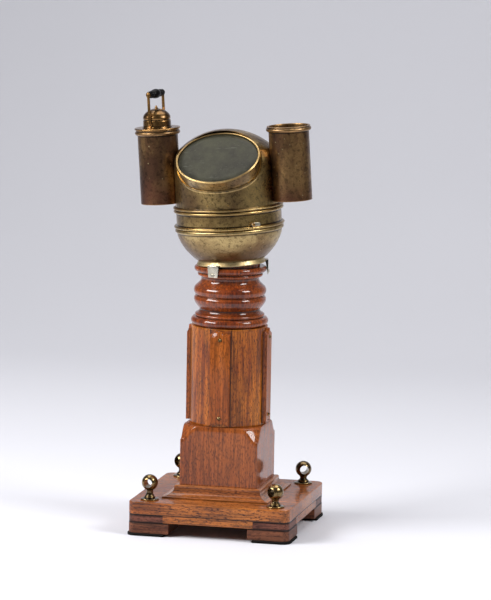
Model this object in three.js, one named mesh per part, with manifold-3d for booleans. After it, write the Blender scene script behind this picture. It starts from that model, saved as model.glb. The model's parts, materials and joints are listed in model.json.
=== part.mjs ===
// Pedestal binnacle for a small yacht: a boarded and turned timber stand, a brass bowl and lift-off hood
// with an oval sloping window, two side lamp housings with one oil lamp, and a gimballed card compass.
// Millimetres, +Z up, front towards -Y. The origin is on the floor, under the middle of the whole outline.
// The brass head leans a few degrees to port on its three neck clips, while the compass hangs level.
import * as THREE from 'three';
import { mergeVertices } from 'three/addons/utils/BufferGeometryUtils.js';
import Module from 'manifold-3d';

const wasm = await Module();
wasm.setup();

// ---- Driving dimensions ----

const GAP = 0.3; // clearance left between touching pieces
const COLUMN_X = 16; // the pedestal axis stands here, so that the whole outline is centred on X = 0

// Feet, base board and plinth
const PAD_TOP = 6;
const FOOT_TOP = 31;
const STRIP_TOP = 48;
const BOARD_TOP = 78;
const BOARD_HALF = 187.5;
const BOARD_CORNER_R = 18;
const FOOT_SIZE = 95.5;
const PAD_SIZE = 84;
const PAD_OVERHANG = 3;
const STRIP_SIZE = 82.5;
const PLINTH_TOP = 105;
const PLINTH_HALF = 124;

// Square block, round column and battens
const BLOCK_HALF = 90.4;
const BLOCK_TOP = 241.6;
const SCOOP_INNER_R = 100.6;
const SCOOP_DEPTH = 31;
const COLUMN_R = 87.4;
const COLUMN_TOP = 467;
const BATTEN_WIDTH = 46.7;
const BATTEN_FACE = COLUMN_R + 7;
const BATTEN_BOTTOM = 246;
const BATTEN_TOP = 463;
const SCREW_HEIGHTS = [263, 443.5];
const SCREW_SHANK_R = 2;
const SCREW_HEAD_R = 4.6;

// Ball eyes on the base board
const EYE_BALL_R = 18.6;
const EYE_FLANGE_R = 21;
const EYE_HOLE_R = 10;
const EYES = [
  { name: 'ball_eye_front_left', x: -145, y: -150, height: 39.5, turn: -3 },
  { name: 'ball_eye_front_right', x: 148, y: -150, height: 34.5, turn: -29 },
  { name: 'ball_eye_rear_right', x: 147, y: 150, height: 34, turn: 20 },
  { name: 'ball_eye_rear_left', x: -143, y: 150, height: 36, turn: -45 },
];

// The brass head, in its own leaning frame
const HEAD_SHIFT_X = 2.6;
const HEAD_Z = 600;
const HEAD_LEAN = THREE.MathUtils.degToRad(3.97);
const DRUM_R = 120;
const SHEET = 1.6;
const FOOT_FLANGE_R = 79;
const FOOT_FLANGE_TOP = 10.8;
const LIP_TOP = 95;
const BEAD_R = 126.2;
const BAND_TOP = 138;
const HOOD_TOP = 316;
const DOME_R = 155;
const DRUM_SEGMENTS = 32;

// Neck clips, measured round from the front, positive towards starboard
const CLIP_AZIMUTHS = [-14.6, 105.4, 225.4];
const CLIP_WIDTH = 27;
const CLIP_BOTTOM = 584.5;
const CLIP_THICK = 1.8;
const CLIP_LEG_R = 84.4;

// Window, its sloping collar and its bezel
const WINDOW_Y = -77.6;
const WINDOW_Z = 257.8;
const WINDOW_HALF_WIDTH = 97;
const WINDOW_HALF_HEIGHT = 81.5;
const WINDOW_FACE_ELEVATION = THREE.MathUtils.degToRad(51.5);
const COLLAR_ELEVATION = THREE.MathUtils.degToRad(44);
const COLLAR_WALL = 2;
const COLLAR_LENGTH = 62;
const BEZEL_WIDTH = 4.6;
const BEZEL_HEIGHT = 3;
const GLASS_THICK = 3;

// Lamp housings and the lamp
const HOUSING_X = 153.2;
const HOUSING_Y = -16.4;
const HOUSING_R = 46.1;
const HOUSING_BOTTOM = 152.2;
const HOUSING_TOP = 322;
const HOUSING_RIM_R = 51.7;
const HOUSING_SEGMENTS = 24;
const LAMP_R = 43;
const LAMP_BOTTOM = 158;
const FLANGE_TOP = 326.2;
const CAP_R = 31.7;
const CAP_TOP = 369;
const FINIAL_TOP = 376;
const BAIL_PIVOT_Z = 335;
const BAIL_AZIMUTH = -14.5;
const BAIL_ARM_X = 34.2;
const GRIP_HEIGHT = 68;
const GRIP_R = 11;

// Hood catch on the band
const CATCH_AZIMUTH = 38.5;
const CATCH_Z = 107.8;

// Gimbals and compass, level in the leaning bowl
const GIMBAL_Z = 86;
const RING_INNER_R = 90;
const RING_OUTER_R = 96;
const RING_HALF_HEIGHT = 4.5;
const GIMBAL_PIN_R = 2.8;
const GIMBAL_HOLE_R = 3.2;
const COMPASS_R = 80;
const CARD_R = 68;

// ---- Materials ----

function material(name, color, roughness, metalness) {
  const made = new THREE.MeshStandardMaterial({ color, roughness, metalness });
  made.name = name;
  return made;
}

const MAHOGANY = material('varnished_mahogany', 0x9b582d, 0.35, 0);
const MAHOGANY_DARK = material('dark_mahogany', 0x7a4630, 0.45, 0);
const RUBBER = material('black_rubber', 0x1c1a19, 0.85, 0);
const BRASS_AGED = material('aged_brass', 0x7d6b42, 0.38, 1);
const BRASS_BOWL = material('worn_brass', 0xa6946a, 0.34, 1);
const BRASS_LAMP = material('browned_brass', 0x6b5238, 0.42, 1);
const BRASS_BRIGHT = material('bright_brass', 0xb8934a, 0.28, 1);
const NICKEL_SILVER = material('nickel_silver', 0xbdb7a6, 0.32, 1);
const EBONITE = material('black_ebonite', 0x111112, 0.25, 0);
const GLASS = material('window_glass', 0x5a5d54, 0.2, 0);
GLASS.transparent = true;
GLASS.opacity = 0.8;
const CARD = material('compass_card', 0xe9e4d2, 0.7, 0);

// ---- Geometry helpers ----

// A closed solid with shared vertices, no empty triangles, and its faces pointing out.
function solid(source) {
  source.deleteAttribute('normal');
  source.deleteAttribute('uv');
  const merged = mergeVertices(source, 1e-4);
  const position = merged.getAttribute('position');
  const index = Array.from(merged.getIndex().array);
  const kept = [];
  const a = new THREE.Vector3();
  const b = new THREE.Vector3();
  const c = new THREE.Vector3();
  let volume = 0;
  for (let i = 0; i < index.length; i += 3) {
    const [p, q, r] = [index[i], index[i + 1], index[i + 2]];
    if (p === q || q === r || r === p) continue;
    kept.push(p, q, r);
    a.fromBufferAttribute(position, p);
    b.fromBufferAttribute(position, q);
    c.fromBufferAttribute(position, r);
    volume += a.dot(b.cross(c));
  }
  if (volume < 0) kept.reverse();
  merged.setIndex(kept);
  return merged;
}

function toManifold(geometry) {
  const closed = solid(geometry);
  return new wasm.Manifold(new wasm.Mesh({
    numProp: 3,
    vertProperties: new Float32Array(closed.getAttribute('position').array),
    triVerts: new Uint32Array(closed.getIndex().array),
  }));
}

function fromManifold(body) {
  const mesh = body.getMesh();
  const geometry = new THREE.BufferGeometry();
  geometry.setAttribute('position', new THREE.BufferAttribute(new Float32Array(mesh.vertProperties), 3));
  geometry.setIndex(Array.from(mesh.triVerts));
  return geometry;
}

// base with every geometry of cuts taken away
function cut(base, cuts) {
  return fromManifold(cuts.reduce((body, piece) => body.subtract(toManifold(piece)), toManifold(base)));
}

// base joined with every geometry of pieces
function join(base, pieces) {
  return fromManifold(pieces.reduce((body, piece) => body.add(toManifold(piece)), toManifold(base)));
}

// profile is a list of [radius, z], from axis to axis or closed on itself
function turned(profile, segments) {
  const points = profile.map(([r, z]) => new THREE.Vector2(r, z));
  return new THREE.LatheGeometry(points, segments).rotateX(Math.PI / 2);
}

function closedRing(profile, segments) {
  return turned([...profile, profile[0]], segments);
}

function cylinder(radius, bottom, top, segments) {
  const height = top - bottom;
  return new THREE.CylinderGeometry(radius, radius, height, segments)
    .rotateX(Math.PI / 2)
    .translate(0, 0, bottom + height / 2);
}

// A rod along Y between two distances
function rodY(radius, from, to, segments) {
  const length = to - from;
  return new THREE.CylinderGeometry(radius, radius, length, segments).translate(0, from + length / 2, 0);
}

function box(x0, x1, y0, y1, z0, z1) {
  return new THREE.BoxGeometry(x1 - x0, y1 - y0, z1 - z0)
    .translate((x0 + x1) / 2, (y0 + y1) / 2, (z0 + z1) / 2);
}

function plate(shape, bottom, top) {
  return new THREE.ExtrudeGeometry(shape, { depth: top - bottom, bevelEnabled: false, curveSegments: 6 })
    .translate(0, 0, bottom);
}

function smoothstep(t) {
  const s = Math.min(Math.max(t, 0), 1);
  return s * s * (3 - 2 * s);
}

function steps(count, from, to) {
  return Array.from({ length: count + 1 }, (_, i) => from + (to - from) * i / count);
}

// Turn about Z that carries the front (-Y) to an azimuth measured towards +X
function turnFromFront(degrees) {
  return THREE.MathUtils.degToRad(degrees);
}

const binnacle = new THREE.Group();
binnacle.name = 'binnacle';
const pedestal = new THREE.Group();
pedestal.position.x = COLUMN_X;
binnacle.add(pedestal);
const head = new THREE.Group();
head.position.set(HEAD_SHIFT_X, 0, HEAD_Z);
head.rotation.y = -HEAD_LEAN;
pedestal.add(head);

function add(parent, name, geometry, surface) {
  const closed = solid(geometry);
  closed.computeVertexNormals();
  const mesh = new THREE.Mesh(closed, surface);
  mesh.name = name;
  parent.add(mesh);
  return mesh;
}

// ---- Feet and base board ----

// Square corner piece with a rounded outer corner, for the +X +Y corner of the base
function cornerShape(size, grow) {
  const inner = BOARD_HALF - size;
  const outer = BOARD_HALF + grow;
  const r = BOARD_CORNER_R + grow;
  const shape = new THREE.Shape();
  shape.moveTo(inner, inner);
  shape.lineTo(outer, inner);
  shape.lineTo(outer, outer - r);
  shape.absarc(outer - r, outer - r, r, 0, Math.PI / 2, false);
  shape.lineTo(inner, outer);
  shape.closePath();
  return shape;
}

function boardShape() {
  const h = BOARD_HALF;
  const c = BOARD_HALF - BOARD_CORNER_R;
  const r = BOARD_CORNER_R;
  const shape = new THREE.Shape();
  shape.moveTo(h, -c);
  shape.lineTo(h, c);
  shape.absarc(c, c, r, 0, Math.PI / 2, false);
  shape.lineTo(-c, h);
  shape.absarc(-c, c, r, Math.PI / 2, Math.PI, false);
  shape.lineTo(-h, -c);
  shape.absarc(-c, -c, r, Math.PI, 1.5 * Math.PI, false);
  shape.lineTo(c, -h);
  shape.absarc(c, -c, r, 1.5 * Math.PI, 2 * Math.PI, false);
  return shape;
}

const CORNERS = [
  ['rear_right', 0],
  ['rear_left', 90],
  ['front_left', 180],
  ['front_right', 270],
];
for (const [corner, degrees] of CORNERS) {
  const angle = THREE.MathUtils.degToRad(degrees);
  const pad = plate(cornerShape(PAD_SIZE, PAD_OVERHANG), 0, PAD_TOP);
  const foot = plate(cornerShape(FOOT_SIZE, 0), PAD_TOP + GAP, FOOT_TOP);
  const strip = plate(cornerShape(STRIP_SIZE, 0), FOOT_TOP + GAP, STRIP_TOP);
  add(pedestal, `foot_pad_${corner}`, pad.rotateZ(angle), RUBBER);
  add(pedestal, `foot_block_${corner}`, foot.rotateZ(angle), MAHOGANY);
  add(pedestal, `corner_strip_${corner}`, strip.rotateZ(angle), MAHOGANY_DARK);
}

const notchInner = BOARD_HALF - STRIP_SIZE - GAP;
const notchOuter = BOARD_HALF + 5;
const notches = CORNERS.map(([, degrees]) => (
  box(notchInner, notchOuter, notchInner, notchOuter, FOOT_TOP - 5, STRIP_TOP + GAP)
    .rotateZ(THREE.MathUtils.degToRad(degrees))
));
const board = plate(boardShape(), FOOT_TOP + GAP, BOARD_TOP);
add(pedestal, 'base_board', cut(board, notches), MAHOGANY);

// ---- Plinth moulding: four mitred lengths ----

// Section as [distance out from the block's face, height above the board]
const plinthReach = PLINTH_HALF - BLOCK_HALF;
const plinthHeight = PLINTH_TOP - BOARD_TOP;
const cove = steps(5, 0, 1).map((t) => {
  const angle = t * Math.PI / 2;
  return [plinthReach - 24 * Math.sin(angle), 3 + 19 * (1 - Math.cos(angle))];
});
const plinthSection = [
  [GAP, GAP],
  [plinthReach, GAP],
  ...cove,
  [plinthReach - 24, plinthHeight - 2],
  [plinthReach - 26, plinthHeight],
  [GAP, plinthHeight],
];

function plinthLength() {
  const shape = new THREE.Shape(plinthSection.map(([u, w]) => new THREE.Vector2(u, w)));
  const geometry = new THREE.ExtrudeGeometry(shape, { depth: 1, bevelEnabled: false });
  const position = geometry.getAttribute('position');
  for (let i = 0; i < position.count; i += 1) {
    const out = position.getX(i);
    const side = position.getZ(i) > 0.5 ? 1 : -1;
    const along = side * (BLOCK_HALF + out - GAP);
    position.setXYZ(i, along, -(BLOCK_HALF + out), BOARD_TOP + position.getY(i));
  }
  return geometry;
}

const SIDES = [['front', 0], ['right', 90], ['rear', 180], ['left', 270]];
for (const [side, degrees] of SIDES) {
  const angle = THREE.MathUtils.degToRad(degrees);
  add(pedestal, `plinth_moulding_${side}`, plinthLength().rotateZ(angle), MAHOGANY);
}

// ---- Block with turned corner scoops ----

const cornerR = BLOCK_HALF * Math.SQRT2;
const scoop = steps(6, 0.1, 1).map((t) => (
  [SCOOP_INNER_R + t * (cornerR - SCOOP_INNER_R), BLOCK_TOP - SCOOP_DEPTH * smoothstep(t)]
));
const scoopCutter = closedRing([
  [SCOOP_INNER_R, BLOCK_TOP + 5],
  [SCOOP_INNER_R, BLOCK_TOP],
  ...scoop,
  [cornerR + 12, BLOCK_TOP - SCOOP_DEPTH],
  [cornerR + 12, BLOCK_TOP + 5],
], 40);
const blockBody = box(-BLOCK_HALF, BLOCK_HALF, -BLOCK_HALF, BLOCK_HALF, BOARD_TOP + GAP, BLOCK_TOP);
add(pedestal, 'pedestal_block', cut(blockBody, [scoopCutter]), MAHOGANY);

// ---- Column, battens and their screws ----

const screwHoles = [];
const SCREW_TIP = 70;
for (const [, degrees] of SIDES) {
  for (const z of SCREW_HEIGHTS) {
    const hole = rodY(SCREW_SHANK_R + GAP, -120, -SCREW_TIP + 1, 10).translate(0, 0, z);
    screwHoles.push(hole.rotateZ(THREE.MathUtils.degToRad(degrees)));
  }
}
const columnBody = cylinder(COLUMN_R, BLOCK_TOP + GAP, COLUMN_TOP, 40);
add(pedestal, 'column_shaft', cut(columnBody, screwHoles), MAHOGANY);

// Outline seen from outside: an arched foot, and a head with a quarter-round bite out of each corner
function battenShape() {
  const h = BATTEN_WIDTH / 2;
  const foot = steps(6, -1, 1).map((t) => (
    new THREE.Vector2(t * h, BATTEN_BOTTOM + 5 * Math.cos(t * Math.PI / 2))
  ));
  const peak = 6;
  const bite = steps(6, 1, 0).map((t) => (
    [peak + t * (h - peak), BATTEN_TOP - 13 * Math.sqrt(1 - (1 - t) ** 2)]
  ));
  const right = bite.map(([u, z]) => new THREE.Vector2(u, z));
  const left = bite.reverse().map(([u, z]) => new THREE.Vector2(-u, z));
  return new THREE.Shape([...foot, ...right, ...left]);
}

for (const [side, degrees] of SIDES) {
  const angle = THREE.MathUtils.degToRad(degrees);
  const blank = new THREE.ExtrudeGeometry(battenShape(), { depth: 20, bevelEnabled: false });
  blank.rotateX(Math.PI / 2).translate(0, -BATTEN_FACE + 20, 0);
  const seat = cylinder(COLUMN_R + GAP, BATTEN_BOTTOM - 20, BATTEN_TOP + 20, 40);
  const holes = SCREW_HEIGHTS.map((z) => rodY(SCREW_SHANK_R + GAP, -120, -60, 10).translate(0, 0, z));
  add(pedestal, `batten_${side}`, cut(blank, [seat, ...holes]).rotateZ(angle), MAHOGANY);
}

// Round-head wood screw, pointing in along +Y from the batten's face
function roundHeadScrew() {
  const r = SCREW_HEAD_R;
  const profile = [
    [0, 0],
    [SCREW_SHANK_R, 3],
    [SCREW_SHANK_R, BATTEN_FACE - SCREW_TIP + GAP],
    [r, BATTEN_FACE - SCREW_TIP + GAP],
    [r * 0.82, BATTEN_FACE - SCREW_TIP + 2.4],
    [0, BATTEN_FACE - SCREW_TIP + 3.6],
  ];
  return turned(profile, 10).rotateX(Math.PI / 2).translate(0, -SCREW_TIP, 0);
}

for (const [side, degrees] of SIDES) {
  for (const [level, z] of [['low', SCREW_HEIGHTS[0]], ['high', SCREW_HEIGHTS[1]]]) {
    const screw = roundHeadScrew().translate(0, 0, z).rotateZ(THREE.MathUtils.degToRad(degrees));
    add(pedestal, `batten_screw_${side}_${level}`, screw, BRASS_BRIGHT);
  }
}

// ---- Turned neck, with a round boss that stands up inside the bowl's foot ----

const BOSS_R = 68.5;
const BOSS_TOP = 614;
const neckProfile = [
  [0, COLUMN_TOP + GAP],
  [86, COLUMN_TOP + GAP],
  [88.6, 474],
  [88.6, 481.6],
  [81, 488.4],
  [79.6, 493.6],
  [71.4, 499.6],
  [69.4, 504],
  [74.6, 510.6],
  [80.6, 519.4],
  [82.6, 526],
  [79.4, 534.2],
  [82.8, 541],
  [82.8, 549],
  [77.6, 559.6],
  [69, 568],
  [66.6, 573],
  [73.4, 580.4],
  [74.8, 587],
  [80.4, 591],
  [82.6, 598],
  [79.6, 603.8],
  [BOSS_R, 603.8],
  [BOSS_R, BOSS_TOP],
  [0, BOSS_TOP],
];
add(pedestal, 'neck_turning', turned(neckProfile, 28), MAHOGANY);

// ---- Ball eyes ----

function ballEye(height, turnDegrees) {
  const ball = steps(7, -64, 90).map((degrees) => {
    const a = THREE.MathUtils.degToRad(degrees);
    return [EYE_BALL_R * Math.cos(a), height + EYE_BALL_R * Math.sin(a)];
  });
  ball[ball.length - 1][0] = 0;
  const profile = [[0, GAP], [EYE_FLANGE_R, GAP], [EYE_FLANGE_R, 3], [12.6, 5.4], [7.8, 12.6], ...ball];
  const hole = rodY(EYE_HOLE_R, -30, 30, 16)
    .rotateZ(turnFromFront(turnDegrees))
    .translate(0, 0, height);
  return cut(turned(profile, 16), [hole]);
}

for (const eye of EYES) {
  const geometry = ballEye(eye.height, eye.turn).translate(eye.x, eye.y, BOARD_TOP);
  add(pedestal, eye.name, geometry, BRASS_AGED);
}

// ---- Bowl of the head, with drop-in sockets for the gimbal pins ----

const bowlOuter = [
  [FOOT_FLANGE_R, 9.3],
  [FOOT_FLANGE_R, FOOT_FLANGE_TOP],
  [76.2, 12],
  [86, 27],
  [102, 45],
  [113.4, 64],
  [119.5, 84],
  [124, 88],
  [124, 92],
  [122.6, LIP_TOP],
  [117.4, LIP_TOP + GAP],
  [117.4, 108],
];
const bowlInner = [
  [115.6, 108],
  [115.6, 82],
  [111, 64.4],
  [99.8, 46],
  [84, 28.6],
  [73.4, 13],
  [72.5, 9.3],
];
const bowlSheet = closedRing([...bowlOuter, ...bowlInner], DRUM_SEGMENTS);
const socketBlocks = [-1, 1].map((s) => box(-8, 8, s > 0 ? 101 : -115.2, s > 0 ? 115.2 : -101, 77, 92));
const socketSlots = [-1, 1].flatMap((s) => [
  rodY(GIMBAL_HOLE_R, s > 0 ? 95 : -112, s > 0 ? 112 : -95, 12).translate(0, 0, GIMBAL_Z),
  box(-GIMBAL_HOLE_R, GIMBAL_HOLE_R, s > 0 ? 95 : -112, s > 0 ? 112 : -95, GIMBAL_Z, 100),
]);
add(head, 'bowl_shell', cut(join(bowlSheet, socketBlocks), socketSlots), BRASS_BOWL);

// ---- Neck clips: bent straps that hook the bowl's foot flange down to the neck ----

for (const [i, azimuth] of CLIP_AZIMUTHS.entries()) {
  const angle = turnFromFront(azimuth);
  const footX = FOOT_FLANGE_R * Math.sin(angle);
  const flangeTop = HEAD_Z + FOOT_FLANGE_TOP * Math.cos(HEAD_LEAN) + footX * Math.sin(HEAD_LEAN);
  const under = flangeTop + 1;
  const tabR = 78 + 1.2 * Math.sin(angle);
  const outline = [
    [CLIP_LEG_R, CLIP_BOTTOM],
    [CLIP_LEG_R + CLIP_THICK, CLIP_BOTTOM],
    [CLIP_LEG_R + CLIP_THICK, under + CLIP_THICK - 0.6],
    [CLIP_LEG_R + CLIP_THICK - 0.6, under + CLIP_THICK],
    [tabR, under + CLIP_THICK],
    [tabR, under],
    [CLIP_LEG_R, under],
  ];
  const shape = new THREE.Shape(outline.map(([r, z]) => new THREE.Vector2(r, z)));
  const strap = new THREE.ExtrudeGeometry(shape, { depth: CLIP_WIDTH, bevelEnabled: false })
    .translate(0, 0, -CLIP_WIDTH / 2)
    .rotateX(Math.PI / 2)
    .rotateZ(-Math.PI / 2)
    .rotateZ(angle);
  add(pedestal, `neck_clip_${i + 1}`, strap, NICKEL_SILVER);
}

// ---- Hood: band, spun shell and window ----

function bead(z, half) {
  return steps(4, -1, 1).map((t) => (
    [DRUM_R + (BEAD_R - DRUM_R) * Math.cos(t * Math.PI / 2), z + half * Math.sin(t * Math.PI / 2)]
  ));
}

const bandProfile = [
  [118, LIP_TOP + 2 * GAP],
  ...bead(LIP_TOP + 2 * GAP + 3.8, 3.8),
  ...bead(BAND_TOP, 3.6),
  [DRUM_R + GAP, BAND_TOP],
  [118, BAND_TOP],
];
add(head, 'hood_band', closedRing(bandProfile, DRUM_SEGMENTS), BRASS_AGED);

// Dome profile from the drum's shoulder to the axis, offset inwards by inset
function hoodOutline(bottom, inset) {
  const drum = DRUM_R - inset;
  const dome = DOME_R - inset;
  const centreZ = HOOD_TOP - DOME_R;
  const shoulder = [[drum, bottom], [drum, 244], [drum - 1.2, 253], [drum - 5, 262]];
  const start = Math.asin((drum - 11) / dome);
  const cap = steps(5, start, 0).map((a) => [dome * Math.sin(a), centreZ + dome * Math.cos(a)]);
  cap[cap.length - 1][0] = 0;
  return [...shoulder, ...cap];
}

function hoodSolid(bottom, inset) {
  return turned([[0, bottom], ...hoodOutline(bottom, inset)], DRUM_SEGMENTS);
}

// Frame of the window: X across, Y up the slope, and a third axis out along the collar
const windowUp = new THREE.Vector3(0, Math.sin(WINDOW_FACE_ELEVATION), Math.cos(WINDOW_FACE_ELEVATION));
const collarOut = new THREE.Vector3(0, -Math.cos(COLLAR_ELEVATION), Math.sin(COLLAR_ELEVATION));
const faceOut = new THREE.Vector3(0, -Math.cos(WINDOW_FACE_ELEVATION), Math.sin(WINDOW_FACE_ELEVATION));

function ellipse(halfWidth, halfHeight) {
  const points = Array.from({ length: 32 }, (_, i) => {
    const a = i * Math.PI / 16;
    return new THREE.Vector2(halfWidth * Math.cos(a), halfHeight * Math.sin(a));
  });
  return new THREE.Shape(points);
}

// An oval prism on the window's plane, from one distance to another along the given axis
function windowPrism(inset, wall, axis, from, to) {
  const shape = ellipse(WINDOW_HALF_WIDTH - inset, WINDOW_HALF_HEIGHT - inset);
  if (wall > 0) {
    shape.holes.push(ellipse(WINDOW_HALF_WIDTH - inset - wall, WINDOW_HALF_HEIGHT - inset - wall));
  }
  const geometry = new THREE.ExtrudeGeometry(shape, { depth: to - from, bevelEnabled: false });
  geometry.translate(0, 0, from);
  const place = new THREE.Matrix4().makeBasis(new THREE.Vector3(1, 0, 0), windowUp, axis);
  place.setPosition(0, WINDOW_Y, WINDOW_Z);
  return geometry.applyMatrix4(place);
}

const housingSlots = [-1, 1].map((s) => (
  cylinder(HOUSING_R + GAP, HOUSING_BOTTOM - GAP, HOOD_TOP + 40, HOUSING_SEGMENTS)
    .translate(s * HOUSING_X, HOUSING_Y, 0)
));
const collarHole = windowPrism(-GAP, 0, collarOut, -COLLAR_LENGTH - 10, 90);
const bezelHole = windowPrism(-GAP, 0, faceOut, -1, BEZEL_HEIGHT + 20);
const hoodCavity = hoodSolid(BAND_TOP - 20, SHEET);
const hoodBlank = hoodSolid(BAND_TOP + GAP, 0);
const hoodShell = cut(hoodBlank, [hoodCavity, collarHole, bezelHole, ...housingSlots]);
add(head, 'hood_shell', hoodShell, BRASS_AGED);

const collarTube = windowPrism(0, COLLAR_WALL, collarOut, -COLLAR_LENGTH, -GAP);
const collarTrim = hoodSolid(BAND_TOP - 20, SHEET + 5);
add(head, 'window_collar', cut(collarTube, [collarTrim]), BRASS_AGED);

const bezelRing = windowPrism(0, BEZEL_WIDTH, faceOut, 0, BEZEL_HEIGHT);
add(head, 'window_bezel', bezelRing, BRASS_BRIGHT);
const windowPane = windowPrism(COLLAR_WALL + 0.8, 0, faceOut, -GLASS_THICK - GAP, -GAP);
add(head, 'window_glass', windowPane, GLASS);

// ---- Lamp housings: closed tubes let into the sides of the hood ----

const housingProfile = [
  [0, HOUSING_BOTTOM],
  [HOUSING_R, HOUSING_BOTTOM],
  [HOUSING_R, 309.6],
  [50.4, 311.4],
  [HOUSING_RIM_R, 314.8],
  [49.8, 318.8],
  [49.6, HOUSING_TOP],
  [HOUSING_R - SHEET + 0.2, HOUSING_TOP],
  [HOUSING_R - SHEET, HOUSING_BOTTOM + SHEET],
  [0, HOUSING_BOTTOM + SHEET],
];
for (const [side, s] of [['port', -1], ['starboard', 1]]) {
  const lightPort = s > 0 ? box(-70, -20, -15, 22, 195, 257) : box(20, 70, -15, 22, 195, 257);
  const tube = cut(turned(housingProfile, HOUSING_SEGMENTS), [lightPort]);
  add(head, `lamp_housing_${side}`, tube.translate(s * HOUSING_X, HOUSING_Y, 0), BRASS_LAMP);
}

// ---- Oil lamp in the port housing ----

const lamp = new THREE.Group();
lamp.position.set(-HOUSING_X, HOUSING_Y, 0);
head.add(lamp);

const lampProfile = [
  [0, LAMP_BOTTOM],
  [LAMP_R, LAMP_BOTTOM],
  [LAMP_R, HOUSING_TOP + GAP],
  [51.4, HOUSING_TOP + GAP],
  [52.4, 324.2],
  [51.4, FLANGE_TOP],
  [24, FLANGE_TOP],
  [24, FLANGE_TOP - SHEET],
  [LAMP_R - SHEET, FLANGE_TOP - SHEET],
  [LAMP_R - SHEET, LAMP_BOTTOM + SHEET],
  [0, LAMP_BOTTOM + SHEET],
];
const lampWindow = box(20, 70, -14, 21, 198, 254);
add(lamp, 'lamp_body', cut(turned(lampProfile, HOUSING_SEGMENTS), [lampWindow]), BRASS_LAMP);

const burnerBase = LAMP_BOTTOM + SHEET + GAP;
const burnerProfile = [
  [0, burnerBase],
  [34, burnerBase],
  [34, 184],
  [30, 189],
  [13, 192],
  [13, 199],
  [5, 202],
  [5, 214],
  [0, 214],
];
add(lamp, 'lamp_burner', turned(burnerProfile, 20), BRASS_BRIGHT);

const domeRise = CAP_TOP - 346;
const capDome = steps(4, 0, 80).map((degrees) => {
  const a = THREE.MathUtils.degToRad(degrees);
  return [CAP_R * Math.cos(a), 346 + domeRise * Math.sin(a)];
});
const capInside = [...capDome].reverse().map(([r, z]) => [Math.max(r - SHEET, 0), z - SHEET]);
capInside[0][0] = 0;
const capProfile = [
  [CAP_R - SHEET, FLANGE_TOP + GAP],
  [CAP_R, FLANGE_TOP + GAP],
  [CAP_R, 342.6],
  [29.4, 343.4],
  [29.4, 345.4],
  ...capDome,
  [3.4, 373],
  [2.6, 377.4],
  [0, FINIAL_TOP],
];
const capHollow = turned([
  [0, FLANGE_TOP - 5],
  [CAP_R - SHEET, FLANGE_TOP - 5],
  [CAP_R - SHEET, 341],
  [27.8, 343],
  [27.8, 346],
  ...capInside.slice().reverse().slice(1),
], 20);
const capBlank = turned([[0, FLANGE_TOP + GAP], ...capProfile.slice(1)], 20);
const bailPins = [-1, 1].map((s) => rodY(2, s > 0 ? 30.8 : -37.6, s > 0 ? 37.6 : -30.8, 12)
  .translate(0, 0, BAIL_PIVOT_Z)
  .rotateZ(turnFromFront(BAIL_AZIMUTH)));
add(lamp, 'lamp_cap', join(cut(capBlank, [capHollow]), bailPins), BRASS_BRIGHT);

// Bail: two flat arms with eyes, and the cross rod that the grip turns on
const gripZ = BAIL_PIVOT_Z + GRIP_HEIGHT;
const arms = [-1, 1].map((s) => {
  const y0 = s > 0 ? BAIL_ARM_X - 1.3 : -BAIL_ARM_X - 1.3;
  const y1 = y0 + 2.6;
  const bar = box(-3.2, 3.2, y0, y1, BAIL_PIVOT_Z, gripZ);
  const eyes = [BAIL_PIVOT_Z, gripZ].map((z) => rodY(5.6, y0, y1, 12).translate(0, 0, z));
  return join(bar, eyes);
});
const crossRod = rodY(2.2, -BAIL_ARM_X - 3, BAIL_ARM_X + 3, 12).translate(0, 0, gripZ);
const pivotHoles = rodY(2.4, -60, 60, 12).translate(0, 0, BAIL_PIVOT_Z);
const bail = cut(join(crossRod, arms), [pivotHoles]);
add(lamp, 'lamp_bail', bail.rotateZ(turnFromFront(BAIL_AZIMUTH)), BRASS_BRIGHT);

const gripHalf = BAIL_ARM_X - 2;
const gripCurve = steps(8, -1, 1).map((t) => [GRIP_R * Math.sqrt(1 - 0.72 * t * t), t * gripHalf]);
const grip = closedRing([[2.7, -gripHalf], ...gripCurve, [2.7, gripHalf]], 14)
  .rotateX(Math.PI / 2)
  .translate(0, 0, gripZ)
  .rotateZ(turnFromFront(BAIL_AZIMUTH));
add(lamp, 'bail_grip', grip, EBONITE);

// ---- Hood catch: a turn-button on a stud in the band, swung down over the bowl's lip to close ----

const catchTurn = turnFromFront(CATCH_AZIMUTH);
const studProfile = [
  [0, 120.4],
  [4, 120.4],
  [4, 126.4],
  [2.2, 126.6],
  [2.2, 130.6],
  [4, 130.9],
  [3.2, 132.6],
  [0, 133],
];
const stud = turned(studProfile, 12).rotateX(Math.PI / 2).translate(0, 0, CATCH_Z).rotateZ(catchTurn);
add(head, 'catch_stud', stud, BRASS_BRIGHT);

const buttonShape = new THREE.Shape();
buttonShape.absarc(0, 0, 4.4, Math.PI / 2, 1.5 * Math.PI, false);
buttonShape.lineTo(15, -3.4);
buttonShape.lineTo(17, -1.6);
buttonShape.lineTo(17, 1.6);
buttonShape.lineTo(15, 3.4);
buttonShape.closePath();
const buttonHole = new THREE.Path();
buttonHole.absarc(0, 0, 2.7, 0, 2 * Math.PI, true);
buttonShape.holes.push(buttonHole);
const button = new THREE.ExtrudeGeometry(buttonShape, { depth: 3, bevelEnabled: false, curveSegments: 8 })
  .rotateX(Math.PI / 2)
  .translate(0, -127.2, CATCH_Z)
  .rotateZ(catchTurn);
add(head, 'hood_catch', button, NICKEL_SILVER);

// ---- Compass: hangs level in its gimbals, so this group takes the lean off again ----

const level = new THREE.Group();
level.position.set(0, 0, GIMBAL_Z);
level.rotation.y = HEAD_LEAN;
head.add(level);

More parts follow.
